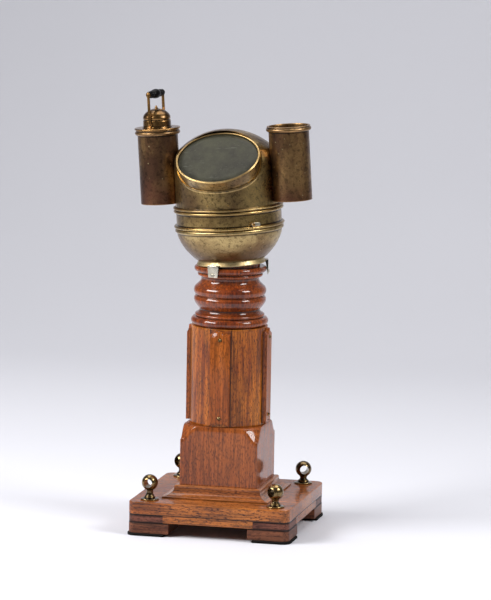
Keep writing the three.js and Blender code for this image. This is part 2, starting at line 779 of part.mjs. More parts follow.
const ringBody = closedRing([
  [RING_INNER_R, -RING_HALF_HEIGHT],
  [RING_OUTER_R, -RING_HALF_HEIGHT],
  [RING_OUTER_R, RING_HALF_HEIGHT],
  [RING_INNER_R, RING_HALF_HEIGHT],
], 28);
const ringPins = [-1, 1].map((s) => rodY(GIMBAL_PIN_R, s > 0 ? 94 : -111, s > 0 ? 111 : -94, 12));
const ringHoles = rodY(GIMBAL_HOLE_R, -120, 120, 12).rotateZ(Math.PI / 2);
add(level, 'gimbal_ring', join(cut(ringBody, [ringHoles]), ringPins), BRASS_BRIGHT);

// Section of the cup from the axis under its floor, up the outside, over the verge ring and down the inside
const compassCup = turned([
  [0, -52],
  [30, -52],
  [52, -42],
  [70, -24],
  [COMPASS_R, 4],
  [84, 6],
  [84, 14],
  [78.2, 14],
  [78.2, 8],
  [76.4, 8],
  [76.4, 0],
  [67, -22.4],
  [49.6, -39.6],
  [29, -49],
  [0, -49],
], 28);
const compassPins = [-1, 1].map((s) => (
  rodY(GIMBAL_PIN_R, s > 0 ? 78.6 : -95.4, s > 0 ? 95.4 : -78.6, 12).rotateZ(Math.PI / 2)
));
add(level, 'compass_bowl', join(compassCup, compassPins), BRASS_AGED);
add(level, 'compass_glass', cylinder(77.6, 8 + GAP, 11, 28), GLASS);

const pivotProfile = [[0, -48.7], [9, -48.7], [9, -45], [3.4, -41], [3.4, -8], [0.8, -3.4], [0, -2.6]];
add(level, 'compass_pivot', turned(pivotProfile, 12), BRASS_BRIGHT);

// The card carries a cap on its middle that rides on the pivot's point
const cardProfile = [
  [0, -1.4],
  [2, -4.6],
  [5, -4.6],
  [6, -3.4],
  [CARD_R, -3.4],
  [CARD_R, -2.4],
  [7, -2.4],
  [5, 1.6],
  [0, 2.4],
];
add(level, 'compass_card', turned(cardProfile, 28), CARD);

export default binnacle;
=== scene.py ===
# %% [markdown]
# # A yacht's pedestal binnacle
# A binnacle is the stand that holds a ship's compass. This one has a mahogany pedestal, a spun brass
# bowl and hood, two side lamp housings and one oil lamp. The CAD model gives the frame: every piece
# here takes its place from it, and adds the fine surface that the faceted solids leave out.

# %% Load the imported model
import json
import math

import bpy
import numpy as np
from mathutils import Matrix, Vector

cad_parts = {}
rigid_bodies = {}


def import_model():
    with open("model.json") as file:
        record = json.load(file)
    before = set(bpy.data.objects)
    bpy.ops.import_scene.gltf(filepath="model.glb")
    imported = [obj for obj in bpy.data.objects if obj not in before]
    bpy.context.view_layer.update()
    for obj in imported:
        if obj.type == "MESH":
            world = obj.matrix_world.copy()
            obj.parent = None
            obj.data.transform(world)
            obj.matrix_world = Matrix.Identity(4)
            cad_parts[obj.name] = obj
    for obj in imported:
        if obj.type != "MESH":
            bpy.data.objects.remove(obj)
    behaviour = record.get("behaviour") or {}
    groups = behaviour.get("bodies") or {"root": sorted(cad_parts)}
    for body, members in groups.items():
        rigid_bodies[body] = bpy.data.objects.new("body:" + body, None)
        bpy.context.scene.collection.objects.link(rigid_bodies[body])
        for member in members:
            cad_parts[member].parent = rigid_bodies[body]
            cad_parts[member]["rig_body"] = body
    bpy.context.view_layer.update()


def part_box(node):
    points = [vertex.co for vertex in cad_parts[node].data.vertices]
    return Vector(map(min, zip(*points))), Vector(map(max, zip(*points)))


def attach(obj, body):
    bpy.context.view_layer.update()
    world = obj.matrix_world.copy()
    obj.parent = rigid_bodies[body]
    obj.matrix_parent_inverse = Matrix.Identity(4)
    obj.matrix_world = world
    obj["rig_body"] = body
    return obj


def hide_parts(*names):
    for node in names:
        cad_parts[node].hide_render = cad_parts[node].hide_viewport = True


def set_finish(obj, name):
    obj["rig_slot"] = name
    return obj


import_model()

# %% [markdown]
# ## Three frames of reference
# The timber stand is upright. The brass head leans 3.97 degrees to port on its clips, as the old fixing
# has worked loose. The compass hangs level in its gimbals whatever the head does. So each piece is worked
# out in millimetres in the frame where it is simple, and one of three functions puts it in the world.

# %% Place a piece
MM = 0.001
LEAN = math.radians(3.97)
shaft_low, shaft_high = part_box("column_shaft")
AXIS_X = (shaft_low.x + shaft_high.x) / 2 / MM
HEAD_X = AXIS_X + 2.6
HEAD_Z = 600.0
GIMBAL_HEIGHT = 86.0


def on_stand(points):
    """Millimetres about the pedestal's axis, height from the floor, to metres in the world."""
    return (np.asarray(points, float) + [AXIS_X, 0, 0]) * MM


def on_head(points):
    """Turn about the fore-and-aft axis by the lean, then move up to the top of the neck."""
    p = np.asarray(points, float)
    x = HEAD_X + p[..., 0] * math.cos(LEAN) - p[..., 2] * math.sin(LEAN)
    z = HEAD_Z + p[..., 0] * math.sin(LEAN) + p[..., 2] * math.cos(LEAN)
    return np.stack([x, p[..., 1], z], axis=-1) * MM


gimbal_centre = on_head([0, 0, GIMBAL_HEIGHT]) / MM


def on_gimbal(points):
    """Level, about the point where the two gimbal axes cross."""
    return (np.asarray(points, float) + gimbal_centre) * MM


def turned_by(points, degrees):
    """Rotation about the vertical axis: x' = x cos a - y sin a, y' = x sin a + y cos a."""
    a = math.radians(degrees)
    p = np.asarray(points, float)
    x = p[..., 0] * math.cos(a) - p[..., 1] * math.sin(a)
    y = p[..., 0] * math.sin(a) + p[..., 1] * math.cos(a)
    return np.stack([x, y, p[..., 2]], axis=-1)


print("pedestal axis at x =", round(AXIS_X, 2), "mm; gimbal centre", np.round(gimbal_centre, 1))

# %% [markdown]
# ## The camera
# A long lens from well back keeps the upright lines nearly parallel. The view looks down on the binnacle a
# little, from its starboard bow.

# %% Camera
ELEVATION, ROLL, STATION, YAW = np.radians([8.6515, -0.9664, 13.153, -0.1912])
DISTANCE, EYE_HEIGHT = 10.643, 2.1428


def put(made, spot, side, up, back):
    """Link an object at a spot, with its own X, Y and Z along three unit vectors."""
    bpy.context.scene.collection.objects.link(made)
    made.location = spot
    made.rotation_mode = "QUATERNION"
    made.rotation_quaternion = Matrix(np.stack([side, up, back], axis=1).tolist()).to_quaternion()


eye_point = np.array([AXIS_X * MM + DISTANCE * math.sin(STATION), -DISTANCE * math.cos(STATION), EYE_HEIGHT])
aim = STATION + YAW
flat = math.cos(ELEVATION)
forward = np.array([-math.sin(aim) * flat, math.cos(aim) * flat, -math.sin(ELEVATION)])
level_right = np.array([math.cos(aim), math.sin(aim), 0.0])
level_up = np.cross(level_right, forward)
camera_data = bpy.data.cameras.new("camera")
camera_data.lens = 282.486
camera_data.sensor_width = 36
camera_data.clip_end = 100
camera = bpy.data.objects.new("camera", camera_data)
put(camera, eye_point, level_right * math.cos(ROLL) - level_up * math.sin(ROLL),
    level_right * math.sin(ROLL) + level_up * math.cos(ROLL), -forward)
bpy.context.scene.camera = camera
print("camera", np.round(eye_point, 3), "lens", round(camera_data.lens, 1))

# %% [markdown]
# ## From arrays to a mesh
# A lathe-turned ring, a moulding and a board with eased edges are all the same thing to a computer: rows of
# points, each row joined to the next. `skin` joins the rows. `piece` puts the arrays into a mesh, turns
# every shell so that its faces look outwards, and stores one number per point for the materials, which is +1
# on a proud edge and -1 in a groove. The materials turn it into wear on proud edges, with a painted highlight
# on the wood, and into dirt and painted shade in grooves.


# %% Skin rows of points
def skin(rows, ring=True, loop=False, start=None, end=None):
    """Quads join row i to row i + 1. ring joins the last column to the first, loop joins the last row to the
    first, and start and end close an end row: 'flat' with one polygon, or a point with a fan of triangles."""
    rows = np.asarray(rows, float)
    count, around = rows.shape[:2]
    points = rows.reshape(-1, 3)
    index = np.arange(count * around).reshape(count, around)
    lower = index if loop else index[:-1]
    upper = np.roll(index, -1, axis=0) if loop else index[1:]
    if ring:
        a, b = lower, np.roll(lower, -1, axis=1)
        c, d = np.roll(upper, -1, axis=1), upper
    else:
        a, b, c, d = lower[:, :-1], lower[:, 1:], upper[:, 1:], upper[:, :-1]
    faces = [np.stack([a, b, c, d], axis=-1).reshape(-1, 4)]
    for place, row, flip in ((start, index[0], True), (end, index[-1], False)):
        if place is None:
            continue
        if isinstance(place, str):
            faces.append((row[::-1] if flip else row)[None, :])
            continue
        hub = len(points)
        points = np.vstack([points, np.asarray(place, float)[None, :]])
        nxt = np.roll(row, -1)
        hubs = np.full_like(row, hub)
        faces.append(np.stack([hubs, nxt, row] if flip else [hubs, row, nxt], axis=-1))
    return points, faces


# %% Turn a section on the lathe
def softened(corners, radius=1.0, steps=4, closed=False):
    """Each corner of a polyline becomes a parabola between two points, radius away from it on either side.
    A long straight gets a point 2 mm from each end, so that the wear and shade number of a corner dies away
    there."""
    p = np.asarray(corners, float)
    before, after = np.roll(p, 1, axis=0) - p, np.roll(p, -1, axis=0) - p
    long_b = np.linalg.norm(before, axis=1)
    long_a = np.linalg.norm(after, axis=1)
    cut = np.minimum(np.broadcast_to(radius, len(p)), 0.45 * np.minimum(long_b, long_a))
    first = p + before / np.maximum(long_b, 1e-9)[:, None] * cut[:, None]
    last = p + after / np.maximum(long_a, 1e-9)[:, None] * cut[:, None]
    t = np.linspace(0, 1, steps + 1)[None, :, None]
    curve = (1 - t) ** 2 * first[:, None] + 2 * t * (1 - t) * p[:, None] + t ** 2 * last[:, None]
    line = curve.reshape(-1, 2) if closed else np.vstack([p[:1], curve[1:-1].reshape(-1, 2), p[-1:]])
    calm = []
    for start, end in zip(line, np.roll(line, -1, axis=0) if closed else line[1:]):
        gap = np.linalg.norm(end - start)
        calm += [start] + [start + (end - start) * at / gap for at in ((2.0, gap - 2.0) if gap > 7 else ())]
    return np.array(calm if closed else calm + [line[-1]])


def edge_wear_and_shading(line, closed):
    """Turning angle per millimetre along a section that runs anticlockwise: above 0 on proud edges."""
    before, after = line - np.roll(line, 1, axis=0), np.roll(line, -1, axis=0) - line
    cross = before[:, 0] * after[:, 1] - before[:, 1] * after[:, 0]
    turn = np.arctan2(cross, (before * after).sum(axis=1))
    span = (np.linalg.norm(before, axis=1) + np.linalg.norm(after, axis=1)) / 2
    bend = turn / np.maximum(span, 0.25)
    if not closed:
        bend[[0, -1]] = 0
    smooth = (np.roll(bend, 1) + 2 * bend + np.roll(bend, -1)) / 4
    return np.clip(smooth / 0.35, -1, 1)


def revolve(section, around=128, closed=False):
    """A point (r, z) of the section sweeps the circle x = r cos a, y = r sin a for a full turn."""
    line = np.asarray(section, float)
    wear_and_shading = edge_wear_and_shading(line, closed)
    poles = [None, None]
    if not closed:
        for side in (0, -1):
            if line[side, 0] < 1e-6:
                poles[side] = [0, 0, line[side, 1]]
        keep = slice(1 if poles[0] else 0, -1 if poles[1] else None)
        line, wear_and_shading = line[keep], wear_and_shading[keep]
    a = np.linspace(0, 2 * np.pi, around, endpoint=False)
    x = line[:, :1] * np.cos(a)
    y = line[:, :1] * np.sin(a)
    z = np.broadcast_to(line[:, 1:], x.shape)
    points, faces = skin(np.stack([x, y, z], axis=-1), loop=closed, start=poles[0], end=poles[1])
    full = np.zeros(len(points))
    full[: wear_and_shading.size * around] = np.repeat(wear_and_shading, around)
    return points, faces, full


def lathe(corners, radius=1.0, steps=4, around=128, closed=False):
    return revolve(softened(corners, radius, steps, closed), around, closed)


def laid(shell, out=1, base=0.0, level=0.0, proud=False):
    """Tip a shell over: (x, y, z) goes to (x, out z + base, y + level). proud: its wear and shade number is
    made positive all over, as on a proud edge.
    """
    points, faces, wear_and_shading = shell
    x, y, z = points.T
    return np.stack([x, out * z + base, y + level], axis=-1), faces, np.abs(wear_and_shading) if proud else wear_and_shading


def stacked(rings):
    """Rings of (outline, height, wear and shade number) joined into one shell, with a flat polygon at each
    end.
    """
    rows = [np.column_stack([outline, np.broadcast_to(height, len(outline))]) for outline, height, _ in rings]
    points, faces = skin(np.stack(rows), start="flat", end="flat")
    return points, faces, np.concatenate([np.broadcast_to(wear_shading, len(outline)) for outline, _, wear_shading in rings])


# %% Cut a plate with eased edges
def inset(outline, distance):
    """Each corner moves inwards along its mitre, so that both its edges move by the distance."""
    p = np.asarray(outline, float)
    d = np.roll(p, -1, axis=0) - p
    d /= np.maximum(np.linalg.norm(d, axis=1), 1e-9)[:, None]
    out = np.stack([d[:, 1], -d[:, 0]], axis=1)
    mean = out + np.roll(out, 1, axis=0)
    scale = 1 + (out * np.roll(out, 1, axis=0)).sum(axis=1)
    return p - mean / np.maximum(scale, 0.3)[:, None] * distance


def slab(outline, low, high, ease_low=1.0, ease_high=1.0, steps=3, dirty_and_shaded="", calm=2.4):
    """An anticlockwise outline carried up from low to high, with a quarter round at each edge; the edges
    named low, high or both, where the plate meets the next part, are darkened with dirt and painted shade.
    calm is how far from an edge the wear and shade number has died away."""
    t = np.linspace(0, np.pi / 2, steps + 1)
    flat = np.asarray(outline, float)
    bend = np.clip(edge_wear_and_shading(flat, True), 0, 1)
    rings = []
    for edge, ease, end, way in (("low", ease_low, low, 1), ("high", ease_high, high, -1)):
        # A named edge gets -0.8, for dirt and painted shade where it meets the next part; the others get 0.8,
        # as a proud edge.
        wear_shading = -0.8 if dirty_and_shaded in (edge, "both") else 0.8
        rows = [(ease * (1 - math.sin(a)), end + way * ease * (1 - math.cos(a)), wear_shading) for a in t]
        if not ease:
            rows = [(0, end, bend * 0.8)]
        elif calm:
            rows = [(ease + calm, end, bend * 0.8), *rows, (0, end + way * (ease + calm), bend * 0.8)]
        rings += rows[::way]
    return stacked([(inset(flat, step_in), height, wear_shading) for step_in, height, wear_shading in rings])


def rounded_square(half, corner, steps=12):
    """Four quarter circles joined by straight sides, anticlockwise."""
    a = np.linspace(0, np.pi / 2, steps + 1) + np.arange(4)[:, None] * np.pi / 2
    centres = np.array([[1, 1], [-1, 1], [-1, -1], [1, -1]]) * (half - corner)
    return (centres[:, None] + corner * np.stack([np.cos(a), np.sin(a)], axis=-1)).reshape(-1, 2)


# %% Put arrays into a mesh
SHARP = math.radians(38)


def piece(name, shells, surface, body, slot, stands_for=()):
    """shells is a list of (points in metres, faces, wear and shade number). Six times a closed shell's volume
    is the sum of a . (b x c) over its triangles, so a negative sum says that its faces look inwards."""
    mesh = bpy.data.meshes.new(name)
    loops, sizes, offset = [], [], 0
    for points, faces, _ in shells:
        fans = [(points[g[:, 0]], points[g[:, k]], points[g[:, k + 1]])
                for g in faces for k in range(1, g.shape[1] - 1)]
        inwards = sum(np.einsum("ij,ij->", a, np.cross(b, c)) for a, b, c in fans) < 0
        for group in faces:
            loops.append((group[:, ::-1] if inwards else group).reshape(-1) + offset)
            sizes.append(np.full(len(group), group.shape[1]))
        offset += len(points)
    points, wear_and_shading = (np.concatenate([shell[k] for shell in shells]).astype(np.float32) for k in (0, 2))
    loops, sizes = np.concatenate(loops), np.concatenate(sizes)
    mesh.vertices.add(len(points))
    mesh.vertices.foreach_set("co", points.ravel())
    mesh.loops.add(len(loops))
    mesh.loops.foreach_set("vertex_index", loops.astype(np.int32))
    mesh.polygons.add(len(sizes))
    mesh.polygons.foreach_set("loop_start", np.concatenate([[0], np.cumsum(sizes)[:-1]]).astype(np.int32))
    mesh.update(calc_edges=True)
    mesh.validate()
    mesh.attributes.new("wear_and_shading", "FLOAT", "POINT").data.foreach_set("value", wear_and_shading)
    mesh.shade_smooth()
    mesh.set_sharp_from_angle(angle=SHARP)
    mesh.materials.append(surface)
    made = bpy.data.objects.new(name, mesh)
    bpy.context.scene.collection.objects.link(made)
    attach(made, body)
    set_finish(made, slot)
    if stands_for:
        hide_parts(*stands_for)
    return made


def moved(shell, place, degrees=0.0, by=(0, 0, 0)):
    """The same shell, turned about the vertical, shifted in millimetres and put in the world."""
    points, faces, wear_and_shading = shell
    return place(turned_by(points, degrees) + np.asarray(by, float)), faces, wear_and_shading


# %% Cut one mesh with another
def carve(target, cutters):
    """Exact boolean difference with closed shells in metres. The cutters are thrown away afterwards."""
    tools = []
    for number, shell in enumerate(cutters):
        tools.append(piece(f"cutter_{number}", [shell], target.data.materials[0], target["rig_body"],
                           target["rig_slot"]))
        cut = target.modifiers.new(f"cut_{number}", "BOOLEAN")
        cut.operation, cut.solver, cut.object = "DIFFERENCE", "EXACT", tools[-1]
    bpy.context.view_layer.update()
    result = bpy.data.meshes.new_from_object(target.evaluated_get(bpy.context.evaluated_depsgraph_get()))
    target.modifiers.clear()
    target.data = result
    for tool in tools:
        bpy.data.objects.remove(tool, do_unlink=True)
    result.shade_smooth()
    result.set_sharp_from_angle(angle=SHARP)
    print(target.name, "after cutting:", len(result.polygons), "faces")


# %% [markdown]
# ## Materials
# Every finish is a small network of nodes. `add` makes one node, sets it up and links its inputs. Patterns
# read Object coordinates, which are metres in the world here, so a scale of 400 is a detail of 2.5 mm.


# %% Node helper and colours
def linear(code):
    """An sRGB hex colour to linear light: c / 12.92 under 0.04045, else ((c + 0.055) / 1.055) ** 2.4."""
    c = np.array([int(code[i:i + 2], 16) for i in (1, 3, 5)]) / 255
    low = c / 12.92
    high = ((c + 0.055) / 1.055) ** 2.4
    return (*np.where(c <= 0.04045, low, high), 1.0)


def add(tree, kind, inputs=None, **settings):
    """One node: settings are its properties, inputs its sockets by name or number, a socket or a value."""
    made = tree.nodes.new(kind)
    for key, value in settings.items():
        setattr(made, key, value)
    for key, value in (inputs or {}).items():
        if isinstance(value, bpy.types.NodeSocket):
            tree.links.new(value, made.inputs[key])
        else:
            made.inputs[key].default_value = value
    return made


def new_material(name):
    """A material, its empty tree, and the Object coordinates in it"""
    made = bpy.data.materials.new(name)
    made.use_nodes = True
    made.node_tree.nodes.clear()
    return made, made.node_tree, add(made.node_tree, "ShaderNodeTexCoord").outputs["Object"]


def blend_colour(tree, factor, a, b):
    """a where factor is 0, b where it is 1; a hex code stands for its colour"""
    a, b = (linear(c) if isinstance(c, str) else c for c in (a, b))
    return add(tree, "ShaderNodeMix", {0: factor, 6: a, 7: b}, data_type="RGBA").outputs[2]


def noise(tree, place, scale, detail=4.0, rough=0.5, twist=0.0):
    return add(tree, "ShaderNodeTexNoise", {"Vector": place, "Scale": scale, "Detail": detail,
                                            "Roughness": rough, "Distortion": twist}).outputs[0]


def bump(tree, height, strength, deep):
    return add(tree, "ShaderNodeBump", {"Height": height, "Strength": strength, "Distance": deep}).outputs[0]


def principled(tree, inputs):
    shader = add(tree, "ShaderNodeBsdfPrincipled", inputs)
    add(tree, "ShaderNodeOutputMaterial", {"Surface": shader.outputs[0]})


def spread(tree, value, low, high, to_low=0.0, to_high=1.0):
    """Stretches low..high to the new range and clamps it."""
    return add(tree, "ShaderNodeMapRange", {0: value, 1: low, 2: high, 3: to_low, 4: to_high}).outputs[0]


def tint(tree, colour, pattern, start, full, most, code):
    """A colour laid over another: none of it where the pattern is at start, most of it where it is at full"""
    return blend_colour(tree, spread(tree, pattern, start, full, 0.0, most), colour, code)


def arithmetic(tree, operation, a, b=0.0):
    return add(tree, "ShaderNodeMath", {0: a, 1: b}, operation=operation).outputs[0]


def plus(tree, a, b, share):
    """a + b times share"""
    return arithmetic(tree, "ADD", a, arithmetic(tree, "MULTIPLY", b, share))


def distance(tree, a, b):
    return arithmetic(tree, "ABSOLUTE", arithmetic(tree, "SUBTRACT", a, b))


def wear_and_shading_of(tree):
    return add(tree, "ShaderNodeAttribute", attribute_name="wear_and_shading").outputs["Fac"]


# %% [markdown]
# ### Varnished mahogany
# Mahogany is cut along the grain, so its pores show as short dark dashes and its ribbon figure as bands a
# centimetre or so wide. Many coats of varnish give a deep gloss over a soft, slightly uneven wood. The
# noise is squeezed across the grain by stretching it along. Real pores are 0.2 mm wide: they are drawn
# about 1 mm wide here, as the finest that a whole view can show.


# %% Mahogany
def mahogany(name, grain, colours, gloss=0.14, coat=0.9, shift=0.0, figure=1.0, seams=None, gap=None):
    """grain is the axis that the fibres run along; colours are dark, middle and light; seams is (axis, pitch,
    start) of glued planks in metres; gap is how far from the pedestal's two middle planes a painted shadow
    line lies, just beside each batten."""
    dark, middle, light = colours.split()
    made, tree, place = new_material(name)

    def along(stretch, move, scale, **more):
        """Noise drawn out along the grain"""
        axes = [1.0, 1.0, 1.0]
        axes[grain] = stretch
        move += shift
        drawn = add(tree, "ShaderNodeMapping", {
            "Vector": place, "Scale": axes, "Location": (move, move * 1.7, move * 0.6)}).outputs[0]
        return noise(tree, drawn, scale, **more)

    drift = along(0.4, 0.0, 9.0, detail=3.0)
    ribbon = along(0.05, 3.0, 75.0, rough=0.6, twist=0.8)
    fibre = along(0.05, 7.0, 220.0, detail=3.0, rough=0.6)
    flecks = along(0.28, 11.0, 440.0, detail=3.0, rough=0.6)
    colour = blend_colour(tree, spread(tree, ribbon, 0.36, 0.62), dark, middle)
    colour = tint(tree, colour, drift, 0.40, 0.66, 0.8, light)
    shade = spread(tree, fibre, 0.36, 0.64, 1 - 0.44 * figure, 1 + 0.4 * figure)
    colour = add(tree, "ShaderNodeVectorMath", {0: colour, "Scale": shade}, operation="SCALE").outputs[0]
    dash = spread(tree, flecks, 0.50, 0.36, 0.0, 0.8 * figure)
    colour = blend_colour(tree, dash, colour, "#34150a")
    if seams or gap:
        parts = add(tree, "ShaderNodeSeparateXYZ", {0: place}).outputs
    if seams:
        axis, pitch, start = seams
        turn = arithmetic(tree, "DIVIDE", arithmetic(tree, "SUBTRACT", parts[axis], start), pitch)
        off = distance(tree, turn, arithmetic(tree, "ROUND", turn))
        colour = tint(tree, colour, off, 0.0014 / pitch, 0.0006 / pitch, 0.8, "#1d0d07")
    # Painted shadow: a dark line on the column at gap from each middle plane, beside each batten's edge.
    for axis, middle_at in ((0, AXIS_X * MM), (1, 0.0)) if gap else ():
        away = distance(tree, distance(tree, parts[axis], middle_at), gap)
        colour = tint(tree, colour, away, 0.0022, 0.0008, 0.85, "#160905")
    wear_shading = wear_and_shading_of(tree)
    # Painted light on the wood: proud edges lighter, as wear and a painted highlight; grooves and joints
    # darker, as dirt and painted shade.
    colour = tint(tree, colour, wear_shading, 0.35, 1.0, 0.3, light)
    colour = tint(tree, colour, wear_shading, -0.08, -0.7, 0.9, "#160905")
    relief = arithmetic(tree, "SUBTRACT", arithmetic(tree, "MULTIPLY", fibre, 0.4), dash)
    principled(tree, {
        "Base Color": colour, "Roughness": spread(tree, fibre, 0.2, 0.8, 0.5, 0.7), "IOR": 1.5,
        "Specular IOR Level": 0.1, "Normal": bump(tree, relief, 0.25, 0.0004),
        "Coat Weight": coat, "Coat Roughness": gloss, "Coat IOR": 1.5,
        "Coat Normal": bump(tree, noise(tree, place, 35.0, 1.0), 0.12, 0.001),
    })
    return made


# The shaft carries painted shadow lines 24.2 mm from the middle planes, beside the battens.
shaft_wood = mahogany("varnished mahogany upright grain", 2, "#763409 #ab5c17 #ba7022", coat=0.6, gap=0.0242)
batten_wood = mahogany("varnished mahogany battens", 2, "#73300f #9b4e19 #a85c20", 0.1, 0.45, 5)
block_wood = mahogany("varnished mahogany block", 2, "#793814 #924a1c #9d5522", 0.08, 0.75, 9, 0.85)
neck_wood = mahogany("polished mahogany turning", 2, "#5c210a #8c3f12 #a8551a", 0.05, 1.0, 2)
board_wood = mahogany("varnished mahogany board", 0, "#743812 #98521e #ab6427", 0.16, 0.7, 4, 1.15,
                      seams=(1, 0.14, 0.07))
foot_wood = mahogany("varnished mahogany feet", 0, "#512918 #6f4029 #7f4e33", 0.3, 0.4, 13)
strip_wood = mahogany("dark mahogany corner pieces", 0, "#47231a #6b3c2e #7c4b3a", 0.3, 0.4, 17)
moulding_wood_x = mahogany("varnished mahogany moulding", 0, "#6f3516 #9a5728 #b0703c", shift=21)
moulding_wood_y = mahogany("varnished mahogany side moulding", 1, "#6f3516 #9a5728 #b0703c", shift=25)

# %% [markdown]
# ### Old brass
# Brass left to itself goes from gold to olive brown. The film is thin, so it still mirrors light like metal:
# it is drawn as metal whose colour and roughness wander between bare and browned. Hands and cloths keep the
# proud edges bright, the grooves are darkened with dirt and painted shade, and small spots mark old spatter.


# %% Brass
def old_brass(name, colours, cover, rough, dirt="#2a2012", dirt_amount=0.6, fleck_amount=0.3, size=1.0,
              streak=1.0, dent=0.35, low_tint=None):
    """colours are bare, filmed and brown; cover is how much the film hides; rough is the least and most
    roughness; size scales the patches; streak under 1 stretches them down; low_tint is a colour, with the
    heights in metres where it starts and is full."""
    bare, film, brown = colours.split()
    made, tree, place = new_material(name)
    hang = add(tree, "ShaderNodeMapping", {"Vector": place, "Scale": (1.0, 1.0, streak)}).outputs[0]
    cloud = noise(tree, hang, 30.0 / size, 6.0, 0.66, 0.5)
    broad = noise(tree, hang, 9.0 / size, 3.0)
    mottle = noise(tree, place, 120.0, 4.0, 0.62)
    grit = noise(tree, place, 330.0, 4.0, 0.7)
    dots = add(tree, "ShaderNodeTexVoronoi", {"Vector": place, "Scale": 62.0}).outputs["Distance"]
    wear_shading = wear_and_shading_of(tree)
    mix = plus(tree, arithmetic(tree, "MULTIPLY", cloud, 0.6), broad, 0.4)
    layers = [(broad, 0.48, 0.66, 0.85, brown)]
    if low_tint:
        code, start, full = low_tint
        ragged = plus(tree, add(tree, "ShaderNodeSeparateXYZ", {0: place}).outputs[2], cloud, 0.06)
        layers += [(ragged, start + 0.03, full + 0.03, 0.8, code)]
    layers += [(mottle, 0.5, 0.66, dirt_amount, dirt), (grit, 0.54, 0.68, dirt_amount * 0.7, dirt),
               (dots, 0.11, 0.06, fleck_amount, "#cdb98a"),
               # Bare brass on the rubbed proud edges; dirt and painted shade darken the grooves.
               (wear_shading, 0.25, 0.9, 0.55, bare), (wear_shading, -0.12, -0.7, 0.9, "#171008")]
    colour = blend_colour(tree, spread(tree, mix, 0.62 - 0.36 * cover, 0.76 - 0.36 * cover), bare, film)
    for layer in layers:
        colour = tint(tree, colour, *layer)
    relief = plus(tree, arithmetic(tree, "MULTIPLY", cloud, 0.6), grit, 0.12)
    principled(tree, {
        "Base Color": colour, "Metallic": 1.0, "Normal": bump(tree, relief, dent, 0.0012),
        "Roughness": spread(tree, plus(tree, mix, mottle, 0.3), 0.5, 0.85, *rough),
        "Coat Weight": 0.3, "Coat Roughness": 0.16, "Coat IOR": 1.5,
    })
    return made


hood_brass = old_brass("olive patinated brass", "#c2a468 #86704a #6a5034", 0.55, (0.26, 0.5), dirt_amount=0.8)
band_brass = old_brass("rubbed olive brass", "#b89a60 #82683e #5f462b", 0.45, (0.22, 0.44))
bowl_brass = old_brass("worn pale brass", "#b9a06c #967e51 #735535", 0.35, (0.28, 0.5), "#4c3a20", 0.65,
                       low_tint=("#5d4226", 0.668, 0.632))
foot_brass = old_brass("rubbed pale brass foot", "#cbb484 #ac9162 #8c6d46", 0.35, (0.38, 0.6), "#4c3a20", 0.5,
                       size=0.6)
lamp_brass = old_brass("browned brass", "#b28c5a #735639 #4a3226", 0.55, (0.26, 0.5), "#1e150d", 0.62, 0.6,
                       size=0.8, streak=0.6, low_tint=("#6e4434", 0.81, 0.76))
bright_brass = old_brass("handled brass", "#bb9658 #8f7040 #6b5230", 0.45, (0.22, 0.4), size=0.5)
dull_brass = old_brass("browned fittings brass", "#a67c45 #745430 #523a24", 0.5, (0.2, 0.36), size=0.4)
bezel_brass = old_brass("rubbed bezel brass", "#c2a26a #957a48 #6e5434", 0.4, (0.26, 0.4), dirt_amount=0.35,
                        dent=0.08)
eye_brass = old_brass("bronzed brass eyes", "#a68a58 #77613c #54432b", 0.5, (0.16, 0.32), size=0.4)
clip_metal = old_brass("nickel silver strip", "#d8d2c0 #b5ad98 #8a8270", 0.35, (0.2, 0.4), "#5c5648", 0.4,
                       size=0.3)

# %% [markdown]
# ### Rubber, ebonite, glass and card
# The pads are matt sheet rubber. The grip is ebonite, a hard black rubber that takes a polish. The window is
# old plate glass under a film of dust and salt, so it looks like grey-green slate: light passes, shapes do
# not. The card is printed paper: its marks are rings, points and degree ticks, worked out from the angle and
# the distance from its centre.


# %% Rubber and ebonite
def plain_solid(name, dark, light, rough, scale):
    """One material in two close shades, with roughness and a fine relief from the same noise."""
    made, tree, place = new_material(name)
    cloud = noise(tree, place, scale, 5.0, 0.65)
    principled(tree, {
        "Base Color": blend_colour(tree, spread(tree, cloud, 0.35, 0.7), dark, light),
        "Roughness": spread(tree, cloud, 0.3, 0.7, rough * 0.85, rough * 1.15), "IOR": 1.52,
        "Specular IOR Level": 0.12, "Normal": bump(tree, cloud, 0.3, 0.0005),
    })
    return made


pad_rubber = plain_solid("black sheet rubber", "#0e0d0c", "#211f1d", 0.8, 240.0)
grip_ebonite = plain_solid("polished ebonite", "#030303", "#0b0a0b", 0.22, 120.0)

# %% Dusty glass
window_glass, tree, place = new_material("dusty plate glass")
dust = noise(tree, place, 18.0, 6.0, 0.7)
speck = noise(tree, place, 260.0, 3.0, 0.6)
hair = add(tree, "ShaderNodeMapping", {
    "Vector": place, "Rotation": (0.0, 0.15, 0.1), "Scale": (0.5, 9.0, 9.0)}).outputs[0]
colour = blend_colour(tree, spread(tree, dust, 0.38, 0.66), "#0f0f0a", "#38382b")
colour = tint(tree, colour, speck, 0.6, 0.74, 0.25, "#6c6c60")
colour = tint(tree, colour, noise(tree, hair, 42.0, 2.0), 0.70, 0.76, 0.5, "#94948a")
principled(tree, {
    "Base Color": colour, "Roughness": spread(tree, dust, 0.3, 0.7, 0.3, 0.5), "IOR": 1.52,
    "Specular IOR Level": 0.26, "Specular Tint": (1.0, 0.93, 0.76, 1.0), "Transmission Weight": 0.1,
    "Normal": bump(tree, speck, 0.08, 0.0003),
})

